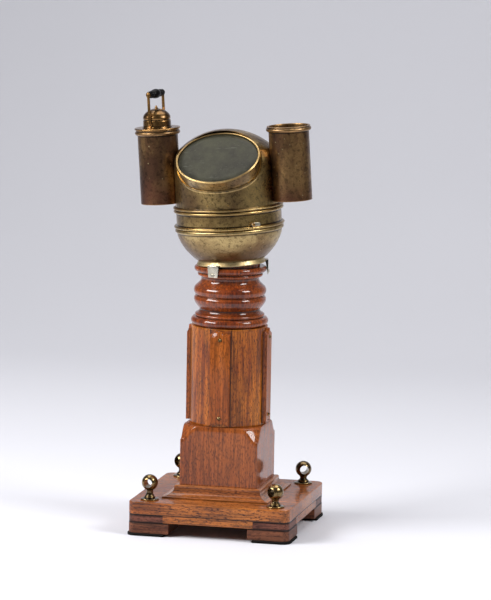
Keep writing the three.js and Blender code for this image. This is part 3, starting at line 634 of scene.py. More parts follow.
# %% Clear glass
clear_glass, tree, place = new_material("clear compass glass")
smear = noise(tree, place, 40.0, 4.0)
principled(tree, {
    "Base Color": blend_colour(tree, smear, "#e6eee8", "#f2f6f2"),
    "Roughness": spread(tree, smear, 0.4, 0.7, 0.01, 0.06), "IOR": 1.52, "Transmission Weight": 1.0,
})

# %% Printed compass card
card_paper, tree, place = new_material("printed compass card")
centred = add(tree, "ShaderNodeMapping", {"Vector": place, "Location": tuple(-gimbal_centre * MM)}).outputs[0]
across, fore = add(tree, "ShaderNodeSeparateXYZ", {0: centred}).outputs[:2]
reach = arithmetic(tree, "SQRT", plus(tree, arithmetic(tree, "MULTIPLY", across, across), fore, fore))
angle = arithmetic(tree, "ARCTAN2", across, fore)


def ink_ring(inner, outer):
    """1 between two radii in millimetres"""
    return arithmetic(tree, "MULTIPLY", arithmetic(tree, "GREATER_THAN", reach, inner * MM),
                      arithmetic(tree, "LESS_THAN", reach, outer * MM))


def ink_points(count, half_width, inner, outer, tip=0.0):
    """1 on count radial marks, whose half width goes from half_width at the inner end to tip at the outer:
    the distance from the nearest mark's angle, times the radius, is less than that"""
    turn = arithmetic(tree, "MULTIPLY", angle, count / (2 * math.pi))
    off = distance(tree, turn, arithmetic(tree, "ROUND", turn))
    arc = arithmetic(tree, "MULTIPLY", arithmetic(tree, "MULTIPLY", off, reach), 2 * math.pi / count)
    taper = spread(tree, reach, inner * MM, outer * MM, half_width * MM, tip * MM)
    return arithmetic(tree, "MULTIPLY", arithmetic(tree, "LESS_THAN", arc, taper), ink_ring(inner, outer))


ink = ink_ring(65.6, 66.4)
for mark in (ink_ring(57.6, 58.2), ink_ring(18, 19), ink_points(72, 0.25, 62, 66, 0.25),
             ink_points(32, 0.45, 58, 66, 0.45), ink_points(4, 9.0, 6, 56), ink_points(8, 5.0, 6, 46),
             ink_points(16, 2.6, 20, 38)):
    ink = arithmetic(tree, "MAXIMUM", ink, mark)
paper = blend_colour(tree, spread(tree, noise(tree, place, 60.0, 4.0), 0.4, 0.75), "#e9e3cf", "#cdbf9c")
principled(tree, {"Base Color": blend_colour(tree, ink, paper, "#1b2026"), "Roughness": 0.7, "IOR": 1.45})
print("materials:", len(bpy.data.materials))

# %% [markdown]
# ## The base
# Four feet, each a sawn square block with the board's own rounded corner, lift the board off the deck. A
# darker piece is let in flush above each foot, and a rubber pad sticks out a little below it. All are plates
# with eased edges, so one outline function serves the three.


# %% Corner plates
BOARD_HALF = 187.5
BOARD_CORNER = 18
BOARD_TOP = 78
BLOCK_HALF = 90.4
SIDES = (("front", 0), ("right", 90), ("rear", 180), ("left", 270))


def corner_outline(size, grow):
    """A square with one rounded outer corner, for the +X +Y corner of the base."""
    near, far = BOARD_HALF - size, BOARD_HALF + grow
    radius = BOARD_CORNER + grow
    a = np.linspace(0, np.pi / 2, 13)
    arc = np.column_stack([far - radius + radius * np.cos(a), far - radius + radius * np.sin(a)])
    return np.vstack([[[near, near], [far, near]], arc, [[near, far]]])


PLATES = (
    ("rubber_pad", 84, 3, (0, 5.9, 0.6, 1.4), "", pad_rubber, "black_rubber", "foot_pad"),
    ("sawn_foot", 95.5, 0, (6.1, 30.9, 0.8, 1.2), "high", foot_wood, "varnished_mahogany", "foot_block"),
    ("let_in_corner", 82.5, -0.5, (31.2, 47.9, 0.9, 1.1), "both", strip_wood, "dark_mahogany",
     "corner_strip"),
)
for corner, degrees in (("rear_right", 0), ("rear_left", 90), ("front_left", 180), ("front_right", 270)):
    for name, size, grow, levels, dirty_and_shaded, surface, slot, node in PLATES:
        plate = slab(corner_outline(size, grow), *levels, dirty_and_shaded=dirty_and_shaded)
        piece(f"{name}_{corner}", [moved(plate, on_stand, degrees)], surface, "stand", slot,
              [f"{node}_{corner}"])

# %% Base board
far, near = BOARD_HALF, BOARD_HALF - 82.8
cross = [(far, -near), (far, near), (near, near), (near, far), (-near, far), (-near, near), (-far, near),
         (-far, -near), (-near, -near), (-near, -far), (near, -far), (near, -near)]
top = slab(rounded_square(BOARD_HALF, BOARD_CORNER), 48.3, BOARD_TOP, 1.2, 2.4, 5, dirty_and_shaded="low")
board = [moved(plate, on_stand) for plate in (top, slab(cross, 31.4, 48.3, 1.4, 0))]
piece("mahogany_board", board, board_wood, "stand", "varnished_mahogany", ["base_board"])

# %% [markdown]
# ## The plinth moulding
# A joiner runs one long moulding with a hollow (a cove) and cuts it into four lengths with mitred ends. The
# section is carried along the length, and each end row is moved out by as much as the point is away from
# the block, which is a 45 degree cut.

# %% Plinth
t = np.linspace(0, np.pi / 2, 12)
cove = np.column_stack([33.6 - 24 * np.sin(t), 3 + 19 * (1 - np.cos(t))])
section = np.vstack([[[0.3, 0.3], [33.3, 0.3]], cove, [[9.6, 24.2], [7.6, 27], [0.3, 27]]])
section = softened(section, 0.7, 3, closed=True)
away = BLOCK_HALF + section[:, 0]
ends = [np.column_stack([side * (away - 0.35), -away, BOARD_TOP + section[:, 1]])
        for side in (-1, 1)]
moulding = (*skin(np.stack(ends), start="flat", end="flat"), np.tile(edge_wear_and_shading(section, True), 2))
for side, degrees in SIDES:
    wood = moulding_wood_x if degrees % 180 == 0 else moulding_wood_y
    piece(f"cove_moulding_{side}", [moved(moulding, on_stand, degrees)], wood, "stand", "varnished_mahogany",
          [f"plinth_moulding_{side}"])

# %% [markdown]
# ## The block
# A square block is spun in the lathe before the column is fitted, and the turner cuts back its four corners
# with a gouge. So its top is a surface of revolution: height falls with distance from the axis by a smooth S
# curve. Each outline point is joined to the middle, and the height follows its distance out.

# %% Block
wall = rounded_square(BLOCK_HALF, 1.6, 6)
dense = []
for start, stop in zip(wall, np.roll(wall, -1, axis=0)):
    count = max(1, int(np.linalg.norm(stop - start) / 3))
    dense.append(start + (stop - start) * np.linspace(0, 1, count, endpoint=False)[:, None])
wall = np.vstack(dense)


def scooped_top(radius):
    """241.6 out to 100.6 mm, then an S curve 31 mm down to the corner at 127.8 mm: s3 (10 - 15 s + 6 s2)."""
    s = np.clip((radius - 100.6) / 27.2, 0, 1)
    return 241.6 - 31 * s ** 3 * (10 - 15 * s + 6 * s * s)


rings = [(inset(wall, step_in), height, 0.2) for step_in, height in ((1.0, 78.35), (0.3, 78.6), (0, 79.4))]
top = scooped_top(np.hypot(*wall.T)) - 1.4
rings += [(wall, 79.4 + (top - 79.4) * rise, 0.1) for rise in np.linspace(0.04, 1, 12)]
crown = [(inset(wall, step_in), drop, 0.75) for step_in, drop in ((0.25, 0.7), (0.75, 0.22), (1.4, 0.0))]
crown += [(inset(wall, 1.4) * share, 0.0, 0.0) for share in np.linspace(0.97, 0.05, 40)]
rings += [(edge, scooped_top(np.hypot(*edge.T)) - drop, wear_shading) for edge, drop, wear_shading in crown]
piece("scooped_block", [moved(stacked(rings), on_stand)], block_wood, "stand", "varnished_mahogany",
      ["pedestal_block"])

# %% [markdown]
# ## Column, battens and screws
# The column is a plain turned shaft. Four flat battens are screwed to it, each hollowed at the back to sit
# on the round, with an arched foot and two gouged scoops at its head.

# %% Column
shaft = lathe([(0, 241.9), (87.4, 241.9), (87.4, 466.9), (0, 466.9)], around=160)
piece("turned_shaft", [moved(shaft, on_stand)], shaft_wood, "stand", "varnished_mahogany", ["column_shaft"])


# %% Battens
def batten_outline(bite, inner):
    """The foot is a shallow arch; the head is a peak as wide as inner with a quarter-round bite each side."""
    half = 23.35
    u = np.linspace(-1, 1, 13)
    foot = np.column_stack([u * half, 246 + 5 * np.cos(u * np.pi / 2)])
    v = np.linspace(1, 0, 16)
    scoop = 463 - bite * np.sqrt(np.clip(1 - (1 - v) ** 2, 0, 1))
    head_right = np.column_stack([inner + v * (half - inner), scoop])
    head_left = head_right[::-1] * [-1, 1]
    return np.vstack([foot, head_right, head_left])


behind, ahead = batten_outline(6, 10), batten_outline(13.5, 4)
hollow = -np.sqrt(87.55 ** 2 - behind[:, 0] ** 2)
# The back row against the column gets -0.5: painted shade, a dark line at the junction. The front edge rows
# get 0.75, lighter as wear and a painted highlight.
rings = [(behind, hollow, -0.5)]
for share, depth in ((0, -89.0), (0.3, -90.1), (0.7, -91.8), (1, -93.2)):
    rings.append((behind + (ahead - behind) * share, np.minimum(hollow - 0.02, depth), 0.2 if share else 0.0))
for step_in, depth in ((0.15, -93.8), (0.6, -94.25), (1.2, -94.4)):
    rings.append((inset(ahead, step_in), depth, 0.75))
batten = laid(stacked(rings))
for side, degrees in SIDES:
    piece(f"scalloped_batten_{side}", [moved(batten, on_stand, degrees)], batten_wood, "stand",
          "varnished_mahogany", [f"batten_{side}"])


# %% Round-head screws
def screw_on_front(level, distance_out, slot_turn, radius, rise, shank=0.0):
    """A low dome z = rise (1 - (r / radius) ** 2.4), with a straight slot pressed 0.55 rise deep across it.
    Its axis points out along -Y."""
    r = np.linspace(0, radius, 12)[1:][::-1, None]
    a = np.linspace(0, 2 * np.pi, 48, endpoint=False)
    x, y = r * np.cos(a), r * np.sin(a)
    z = rise * (1 - (r / radius) ** 2.4) + 0 * x
    off = np.abs(-x * math.sin(slot_turn) + y * math.cos(slot_turn))
    z -= rise * 0.55 * np.clip((radius * 0.24 - off) / (radius * 0.1), 0, 1) * (r < radius * 0.95)
    below = [(2.0, -shank), (2.0, -0.35), (radius, -0.3)] if shank else [(radius, -0.3)]
    rings = [np.stack([reach * np.cos(a), reach * np.sin(a), np.full(48, height)], axis=-1)
             for reach, height in below]
    rings += list(np.stack([x, y, z], axis=-1))
    points, faces = skin(np.stack(rings), start="flat", end=[0, 0, rise * 0.45])
    # The dome's crown gets 0.7, rubbed bare; its rim and slot get -0.3, darkened with dirt and painted shade.
    return laid((points, faces, np.where(points[:, 2] > rise * 0.6, 0.7, -0.3)), -1, -distance_out, level)


for side, degrees in SIDES:
    for level, z, turn in (("low", 263, 0.5 + degrees), ("high", 443.5, 1.9 + degrees)):
        shell = screw_on_front(z, 94.8, turn, 4.6, 3.2, 24.0)
        piece(f"round_head_screw_{side}_{level}", [moved(shell, on_stand, degrees)], eye_brass, "stand",
              "bright_brass", [f"batten_screw_{side}_{level}"])


# %% [markdown]
# ## The neck
# The neck is faceplate turning: beads (convex arcs) and hollows (concave arcs) between sharp quirks. Each
# arc is a few points of a circle or an ellipse, from the floor side up.

# %% Neck
def arc(centre, radii, first, last, count=9, hollow=False):
    """Points of an ellipse between two angles from the horizontal; a hollow bulges towards the axis."""
    a = np.radians(np.linspace(first, last, count))
    across = -radii[0] if hollow else radii[0]
    return np.column_stack([centre[0] + across * np.cos(a), centre[1] + radii[1] * np.sin(a)])


neck_line = np.vstack([
    [[0, 467.3], [82, 467.3]],
    arc((79.6, 477.6), (9, 9.4), -74, 60, 14),
    [[81, 486.8]],
    arc((75.6, 491.4), (4.1, 3.9), -62, 80, 8),
    arc((80.6, 503.6), (11.2, 8.6), -62, -8, 8, hollow=True),
    [[69.4, 504.4], [72.6, 508], [76.4, 512.8], [79.6, 517.6], [81.7, 522], [82.6, 526.4], [82.2, 530.4],
     [80.4, 533.6], [78.2, 534.4], [78.2, 535.2]],
    arc((70.4, 547.2), (12.6, 13.8), -56, 48, 16),
    arc((80.6, 574), (14.4, 12.4), -42, 24, 12, hollow=True),
    arc((70.4, 584.2), (4.4, 4.4), -60, 60, 9),
    [[73.2, 589]],
    arc((74.8, 597.4), (7.8, 7.6), -66, 52, 14),
    [[78, 603.8], [68.5, 603.8], [68.5, 614], [0, 614]],
])
piece("turned_neck", [moved(lathe(neck_line, 0.5, 2, 192), on_stand)], neck_wood, "stand",
      "varnished_mahogany", ["neck_turning"])

# %% [markdown]
# ## Ball eyes
# Four cast eyes are screwed into the board to take lashings. The stem is turned about the upright axis, and
# the drilled ball about the axis of its hole: its section is an arc of the ball closed by the hole's wall.

# %% Ball eyes
stem_line = [(0, 0.3), (20.6, 0.3), (21, 1.4), (20.6, 2.8), (17.4, 3.5), (13, 4.2), (12.4, 5.6), (13, 6.8),
             (11.6, 8.2), (8.8, 10.2), (7.7, 13.2), (8.2, 16.4), (9.6, 18.4), (9.4, 21), (0, 21)]
phi = np.radians(np.linspace(-57.6, 57.6, 25))
ball_line = np.vstack([np.column_stack([18.6 * np.cos(phi), 18.6 * np.sin(phi)]),
                       np.column_stack([np.full(7, 10.0), np.linspace(15.0, -15.0, 7)])])
drilled_ball = laid(lathe(ball_line, 0.9, 3, 72, closed=True))
for name, x, y, height, turn in (("front_left", -145, -150, 39.5, -3), ("front_right", 148, -150, 34.5, -29),
                                 ("rear_right", 147, 150, 34, 20), ("rear_left", -143, 150, 36, -45)):
    line = softened(stem_line, 0.8, 3)
    line[:, 1] = np.where(line[:, 1] > 8, 8 + (line[:, 1] - 8) * (height - 26.5) / 8, line[:, 1])
    eye = [moved(revolve(line, 56), on_stand, 0, (x, y, BOARD_TOP)),
           moved(drilled_ball, on_stand, turn, (x, y, BOARD_TOP + height))]
    piece(f"lashing_eye_{name}", eye, eye_brass, "stand", "aged_brass", [f"ball_eye_{name}"])

# %% [markdown]
# ## The bowl
# The bowl is spun from sheet over a wooden former, with a small flange at its foot, a rolled lip, and a
# plain spigot above the lip that the hood slides over. Two blocks brazed inside carry the gimbal pins in
# slots that are open at the top, so that the compass lifts out.

# %% Bowl
outside = np.vstack([
    [[73.8, 21], [76.6, 20.8]],
    np.column_stack([[79.4, 82.6, 87.8, 95.2, 102, 108.6, 113.6, 117.2, 119.2, 119.8],
                     [21.4, 24, 29, 37, 45, 55, 64.4, 73, 80, 85]]),
])
lip = [[121.6, 86.2], [123.6, 87.6], [124, 90], [123.6, 92.8], [121.6, 94.8], [117.4, 95.3]]
spigot = [[117.4, 108], [115.6, 108]]
inside = [[115.4, 84], [113.6, 74], [109, 61], [100.6, 47.4], [91.8, 36.6], [83.6, 27]]
bowl_line = np.vstack([outside, lip, spigot, inside])
bowl_shells = [moved(lathe(bowl_line, 1.2, 4, 160, closed=True), on_head)]
half_round = np.radians(np.linspace(180, 360, 13))
saddle = np.vstack([[[8, 77], [8, 92], [3.2, 92]],
                    np.column_stack([3.2 * np.cos(half_round), 86 + 3.2 * np.sin(half_round)])[::-1],
                    [[-3.2, 92], [-8, 92], [-8, 77]]])
for side in (-1, 1):
    bowl_shells.append(moved(laid(slab(saddle, 101, 115.2, 0.5, 0.5, 2, calm=0), side), on_head))
piece("spun_bowl", bowl_shells, bowl_brass, "stand", "worn_brass", ["bowl_shell"])
foot_line = [(79, 9.3), (79, 11), (77.2, 14.2), (76, 17.6), (75.2, 20.6), (73.4, 20.6), (72.5, 9.3)]
piece("flared_bowl_foot", [moved(lathe(foot_line, 0.5, 3, 160, closed=True), on_head)], foot_brass, "stand",
      "worn_brass")

# %% [markdown]
# ## Neck clips
# Three bent straps hook over the flange at the bowl's foot. Each is a strip of nickel silver, so its side
# view is an angle of even thickness, and a slab of that outline across its width makes the strap. Its lower
# corners are nipped off, and one round-head screw holds it.

# %% Clips
for number, azimuth in enumerate((-14.6, 105.4, 225.4), start=1):
    a = math.radians(azimuth)
    flange_top = HEAD_Z + 10.8 * math.cos(LEAN) + 79 * math.sin(a) * math.sin(LEAN)
    under = flange_top + 1.0
    tab = 78 + 1.2 * math.sin(a)
    side_view = softened([(84.4, 584.5), (86.2, 584.5), (86.2, under + 1.8), (tab, under + 1.8), (tab, under),
                          (84.4, under)], [0.3, 0.5, 1.6, 0.4, 0.3, 0.8], 4, closed=True)
    points, faces, wear_and_shading = slab(side_view, -13.5, 13.5, 0.4, 0.4, 2, calm=0)
    strap = np.stack([points[:, 2], -points[:, 0], points[:, 1]], axis=-1)
    nip = np.clip((590.5 - strap[:, 2]) / 6, 0, 1) * 3
    strap[:, 0] -= np.sign(strap[:, 0]) * nip * (np.abs(strap[:, 0]) > 6)
    screw = screw_on_front(590.8, 86.5, 0.7 + number, 5.0, 3.4)
    clip = [moved(shell, on_stand, azimuth) for shell in ((strap, faces, wear_and_shading), screw)]
    piece(f"bent_clip_{number}", clip, clip_metal, "stand", "nickel_silver", [f"neck_clip_{number}"])

# %% [markdown]
# ## The hood's band
# The band is a hoop with two rolled beads. It sits on the bowl's lip and takes the hood's lower edge in a
# rebate, where the two were soldered.

# %% Band
band_line = np.vstack([
    [[118, 95.7], [120.5, 95.7]],
    arc((122.2, 99.4), (4.0, 3.6), -80, 80, 11),
    [[120.1, 103.6], [120, 129.4]],
    arc((121.2, 134.3), (4.4, 3.5), -85, 85, 12),
    [[120.4, 138], [118, 138]],
])
piece("beaded_band", [moved(lathe(band_line, 0.5, 3, 160, closed=True), on_head)], band_brass, "hood",
      "aged_brass", ["hood_band"])

# %% [markdown]
# ## The hood
# The hood is a drum with a domed top, spun in one piece. It is let out where the window's collar and the two
# lamp housings go through, so the turned shell is cut with an oval prism and two cylinders. The prism's end
# is the sloping window plane; its sides run back along the collar at a flatter slope.


# %% Window frame of reference
FACE = math.radians(51.5)
COLLAR = math.radians(44)
window_centre = np.array([0, -77.6, 257.8])
window_up = np.array([0, math.sin(FACE), math.cos(FACE)])
window_out = np.array([0, -math.cos(FACE), math.sin(FACE)])
collar_out = np.array([0, -math.cos(COLLAR), math.sin(COLLAR)])
WINDOW_HALF = np.array([97, 81.5])
DRUM_RADIUS, DOME_RADIUS, DOME_Z = 120, 155, 161
HOUSING_AT = {"port": (-153.2, -16.4, 0), "starboard": (153.2, -16.4, 0)}


def window_ring(shrink, angles):
    """Centre + (a - shrink) cos t across + (b - shrink) sin t up the slope"""
    a, b = WINDOW_HALF - shrink
    return window_centre + np.outer(a * np.cos(angles), [1, 0, 0]) + np.outer(b * np.sin(angles), window_up)


def hood_profile(step_in, bottom):
    """The drum's radius up to the shoulder, then a sphere, both smaller by step_in."""
    drum, dome = DRUM_RADIUS - step_in, DOME_RADIUS - step_in
    start = math.asin((drum - 11) / dome)
    a = np.linspace(start, 0, 30)
    cap = np.column_stack([dome * np.sin(a), DOME_Z + dome * np.cos(a)])
    cap[-1, 0] = 0
    shoulder = [[drum, bottom], [drum, 243], [drum - 0.5, 249], [drum - 2.2, 256], [drum - 5.6, 262.6]]
    return np.vstack([shoulder, cap])


# %% Hood shell
outer, inner = hood_profile(0, 138.4), hood_profile(1.6, 138.4)
rolled = np.vstack([[[120, 138.4]], arc((121.4, 141.8), (4.6, 3.2), -85, 85, 12), [[120.1, 145.6]]])
straight = np.column_stack([np.full(22, 120.0), np.linspace(147, 238, 22)])
outer = np.vstack([rolled, straight, outer[1:]])
rim_line = np.vstack([softened(outer, 1.0, 2)[:-1], [[0, 316]]])
inside_line = np.vstack([[[0, 314.4]], softened(inner, 1.0, 2)[::-1][1:]])


def capped_shell(outer_line, inner_line, around):
    """Outer and inner skins, both with a pole at the top, joined by the ring at the open bottom."""
    a = np.linspace(0, 2 * np.pi, around, endpoint=False)
    line = np.vstack([outer_line[:-1][::-1], inner_line[1:][::-1]])
    x, y = line[:, :1] * np.cos(a), line[:, :1] * np.sin(a)
    rows = np.stack([x, y, np.broadcast_to(line[:, 1:], x.shape)], axis=-1)
    points, faces = skin(rows, start=[0, 0, outer_line[-1][1]], end=[0, 0, inner_line[0][1]])
    wear_and_shading = np.zeros(len(points))
    wear_and_shading[: len(line) * around] = np.repeat(-edge_wear_and_shading(line, False), around)
    return points, faces, wear_and_shading


points, faces, wear_and_shading = capped_shell(rim_line, inside_line, 176)
hood = piece("spun_hood", [moved((points, faces, wear_and_shading * 0.5), on_head)], hood_brass, "hood", "aged_brass",
             ["hood_shell"])
full_turn = np.linspace(0, 2 * np.pi, 120, endpoint=False)
cutters = []
for direction, ends in ((collar_out, (-75, 90)), (window_out, (-1, 30))):
    rows = [window_ring(-0.3, full_turn) + direction * along for along in ends]
    points, faces = skin(np.stack(rows), start="flat", end="flat")
    cutters.append((on_head(points), faces, np.zeros(len(points))))
tube = revolve([(0, 151.9), (46.4, 151.9), (46.4, 360), (0, 360)], 96)
cutters += [moved(tube, on_head, 0, HOUSING_AT[side]) for side in ("port", "starboard")]
carve(hood, cutters)

# %% [markdown]
# ## Window collar, bezel and glass
# The collar is a short oval tube, rolled up and soldered into the hood. Its inner end follows the hood's own
# curve, so each point of it runs back along the collar until it is a few millimetres inside the hood. That
# depth is found for all points at once by stepping along every line and taking the first step inside.


# %% How far each collar line runs
def depth_to_hood(ring, shrink, outward, far=110.0):
    """Distance back along the collar from each rim point to the hood, made smaller by shrink."""
    travel = np.linspace(0, far, 900)
    path = ring[None] - outward * travel[:, None, None]
    r = np.hypot(path[..., 0], path[..., 1])
    z = path[..., 2]
    within = (r < DRUM_RADIUS - shrink) & (r * r + (z - DOME_Z) ** 2 < (DOME_RADIUS - shrink) ** 2)
    return travel[np.argmax(within, axis=0)]


deep = np.maximum(depth_to_hood(window_ring(0, full_turn), 4.5, collar_out), 3.2)
rows = []
for shrink, shares in ((0, np.linspace(0, 1, 14)), (2, np.linspace(1, 0, 8))):
    rim = window_ring(shrink, full_turn)
    rows += [rim - collar_out * (0.3 + (deep - 0.3) * share)[:, None] for share in shares]
points, faces = skin(np.stack(rows), loop=True)
collar_shells = [(on_head(points), faces, np.zeros(len(points)))]

# %% Solder bead and lap strip where the collar meets the hood
low_side = np.linspace(math.radians(180 - 12), math.radians(360 + 12), 110)
foot_ring = window_ring(0, low_side)
seam = foot_ring - collar_out * depth_to_hood(foot_ring, -0.6, collar_out)[:, None]
hood_normal = seam * [1, 1, 0]
sideways = np.cross(np.gradient(seam, axis=0), hood_normal)
strip_section = softened([(-1, -0.8), (5.4, -0.8), (5.4, 0.9), (0.6, 1.6), (-1, 3.2)], 0.4, 3, closed=True)
lap = seam[:, None]
for k, way in enumerate((sideways, hood_normal)):
    lap = lap + (way / np.linalg.norm(way, axis=1, keepdims=True))[:, None] * strip_section[:, k, None]
points, faces = skin(lap, start="flat", end="flat")
collar_shells.append((on_head(points), faces, np.tile(edge_wear_and_shading(strip_section, True), len(seam))))


def rivet_on_drum(azimuth, z, radius=2.4, rise=1.5):
    """A small domed rivet standing on the drum's wall."""
    line = [(0, -1.5), (radius, -1.5), (radius, 0.2), (radius * 0.7, rise * 0.8), (0, rise)]
    points, faces, _ = laid(lathe(line, 0.5, around=20), -1, -DRUM_RADIUS, z)
    return moved((points, faces, np.ones(len(points))), on_head, azimuth)


collar_shells += [rivet_on_drum(azimuth, z) for azimuth, z in ((-11.5, 190.5), (8.7, 190.5), (26.3, 203))]
piece("window_collar_tube", collar_shells, hood_brass, "hood", "aged_brass", ["window_collar"])
pins = [rivet_on_drum(-9.4, 154.3, 1.9, 2.2), rivet_on_drum(13.6, 154, 1.9, 2.2)]
piece("stop_pins", pins, bright_brass, "hood", "bright_brass")

# %% Bezel
bezel_line = softened([(0, 0), (4.6, 0), (4.6, 1.4), (3.8, 2.8), (2.6, 3.0), (1.9, 1.9), (0.7, 2.1),
                       (0, 1.2)], 0.6, 4, closed=True)
rows = [window_ring(s, full_turn) + window_out * h for s, h in bezel_line]
points, faces = skin(np.stack(rows), loop=True)
wear_and_shading = np.repeat(np.abs(edge_wear_and_shading(bezel_line, True)) * 0.3 + 0.15, len(full_turn))
piece("rolled_bezel", [(on_head(points), faces, wear_and_shading)], bezel_brass, "hood", "bright_brass", ["window_bezel"])

# %% Glass
edges = ((3.4, -3.3), (2.8, -2.8), (2.8, -0.8), (3.4, -0.35))
pane = [window_ring(shrink, full_turn) + window_out * height for shrink, height in edges]
middle = window_centre + window_out * -0.35
rows = np.stack(pane + [middle + (pane[-1] - middle) * share for share in (0.8, 0.5, 0.2)])
points, faces = skin(rows, start="flat", end="flat")
piece("window_pane", [(on_head(points), faces, np.zeros(len(points)))], window_glass, "hood", "window_glass",
      ["window_glass"])

# %% [markdown]
# ## Lamp housings
# Each housing is a tube with a flat soldered bottom, a rolled rim, and a lapped seam down its outer side. A
# square port in the wall lets the lamp light the card.

# %% Housings
housing_line = [(0, 152.2), (45.6, 152.2), (46.1, 153), (46.1, 309.6), (48.8, 310.2), (50.8, 311.8),
                (51.7, 314.6), (51.1, 317.2), (49.4, 318.6), (48.8, 319.4), (49.7, 320.6), (49.4, 322),
                (44.9, 322), (44.5, 318), (44.5, 153.8), (0, 153.8)]
for side, sign in (("port", -1), ("starboard", 1)):
    tube = moved(lathe(housing_line, 0.7, 3, 112), on_head, 0, HOUSING_AT[side])
    housing = piece(f"rolled_housing_{side}", [tube], lamp_brass, "hood", "browned_brass",
                    [f"lamp_housing_{side}"])
    points, faces, wear_and_shading = slab([(20, -15), (70, -15), (70, 22), (20, 22)], 195, 257, 0, 0)
    carve(housing, [moved((points * [-sign, 1, 1], faces, wear_and_shading), on_head, 0, HOUSING_AT[side])])

# %% Lapped seams
seams = []
for side, azimuth in (("port", -128), ("starboard", 142)):
    width = np.radians(np.linspace(-4, 4, 7))
    outline = np.vstack([np.column_stack([radius * np.sin(turn), -radius * np.cos(turn)])
                         for radius, turn in ((46.7, width), (45.8, width[::-1]))])
    strip = slab(outline, 154, 309, 0.2, 0.2, 1, calm=0)
    seams.append(moved(strip, lambda p, at=HOUSING_AT[side]: on_head(p + at), azimuth))
piece("housing_seams", seams, lamp_brass, "hood", "browned_brass")

# %% [markdown]
# ## The oil lamp
# The lamp is a can that drops into its housing and hangs by its flange. Above it come a ringed collar, an air
# gap that shows as a dark groove, and a domed cap with a small finial. The bail's two flat arms pivot on
# pins in the collar, and carry a turned ebonite grip on a cross rod.

# %% Lamp can, fount and cap
LAMP_AT = HOUSING_AT["port"]
BAIL_TURN, BAIL_PIN_Z, BAIL_ROD_Z = -14.5, 335, 403
can_line = [(0, 158), (43, 158), (43, 322.3), (51.2, 322.3), (52.4, 323.4), (52.4, 325.2), (51, 326.2),
            (38, 326.4), (24, 326.2), (24, 324.6), (41.4, 324.6), (41.4, 159.6), (0, 159.6)]
can = piece("lamp_can", [moved(lathe(can_line, 0.6, 3, 112), on_head, 0, LAMP_AT)], dull_brass, "lamp",
            "browned_brass", ["lamp_body"])
can_port = slab([(20, -14), (70, -14), (70, 21), (20, 21)], 198, 254, 0, 0)
carve(can, [moved(can_port, on_head, 0, LAMP_AT)])
fount_line = [(0, 159.95), (33, 159.95), (34, 162), (34, 183), (31, 188.6), (14, 191.6), (13, 194), (13, 199),
              (5, 202), (4.6, 213), (3, 214), (0, 214)]
piece("oil_fount", [moved(lathe(fount_line, around=64), on_head, 0, LAMP_AT)], bright_brass, "lamp",
      "bright_brass", ["lamp_burner"])
dome = arc((0, 346), (31.9, 23), 4, 84, 16)
inner_dome = arc((0, 344.6), (30.2, 21.6), 84, 4, 12)
cap_line = np.vstack([
    [[30.1, 326.7], [32.8, 326.7], [32.6, 328.4], [31.9, 329.2], [31.7, 341.8], [31.0, 343], [29.4, 343.2],
     [29.4, 345], [31.2, 345.4]],
    dome[1:],
    [[4.4, 369.4], [4.0, 370.8], [2.4, 372.2], [2.6, 373.8], [1.8, 375.6], [0, 376]],
])
cap_inside = np.vstack([[[0, 366.2]], inner_dome, [[27.8, 343], [30.1, 340.5]]])


pin_line = [(0, 31), (2, 31), (2, 36.4), (3, 36.6), (2.6, 37.6), (0, 37.9)]
cap = capped_shell(softened(cap_line, 0.5, 2), softened(cap_inside, 0.5, 2), 96)
cap_shells = [moved(cap, on_head, 0, LAMP_AT)]
for way in (-1, 1):
    pin = laid(lathe(pin_line, 0.2, around=20), way, 0, BAIL_PIN_Z, proud=True)
    cap_shells.append(moved(pin, on_head, BAIL_TURN, LAMP_AT))
piece("ringed_cap", cap_shells, dull_brass, "lamp", "bright_brass", ["lamp_cap"])


# %% Bail
def flat_link(height, width, eye, thick, middle_y, base_z):
    """A bar with a round eye at each end, as one outline: two arcs joined by the bar's sides."""
    opening = math.asin(width / eye)
    upper = np.linspace(-math.pi / 2 + opening, 1.5 * math.pi - opening, 20)
    lower = np.linspace(math.pi / 2 + opening, 2.5 * math.pi - opening, 20)
    outline = np.vstack([np.column_stack([eye * np.cos(upper), height + eye * np.sin(upper)]),
                         np.column_stack([eye * np.cos(lower), eye * np.sin(lower)])])
    return laid(slab(outline, middle_y - thick / 2, middle_y + thick / 2, 0.5, 0.5, 2, calm=0), level=base_z)


links = [flat_link(68, 3.2, 5.6, 2.6, sign * 34.2, BAIL_PIN_Z) for sign in (-1, 1)]
rod_line = [(0, -37.2), (2.0, -37.2), (2.2, -36.4), (2.2, 36.4), (2.0, 37.2), (0, 37.2)]
links.append(laid(lathe(rod_line, 0.3, around=20), level=BAIL_ROD_Z, proud=True))
bail = piece("lamp_bail_arms", [moved(s, on_head, BAIL_TURN, LAMP_AT) for s in links], dull_brass, "bail",
             "bright_brass", ["lamp_bail"])
hole = laid(revolve([(0, -60), (2.3, -60), (2.3, 60), (0, 60)], 24), level=BAIL_PIN_Z)
carve(bail, [moved(hole, on_head, BAIL_TURN, LAMP_AT)])

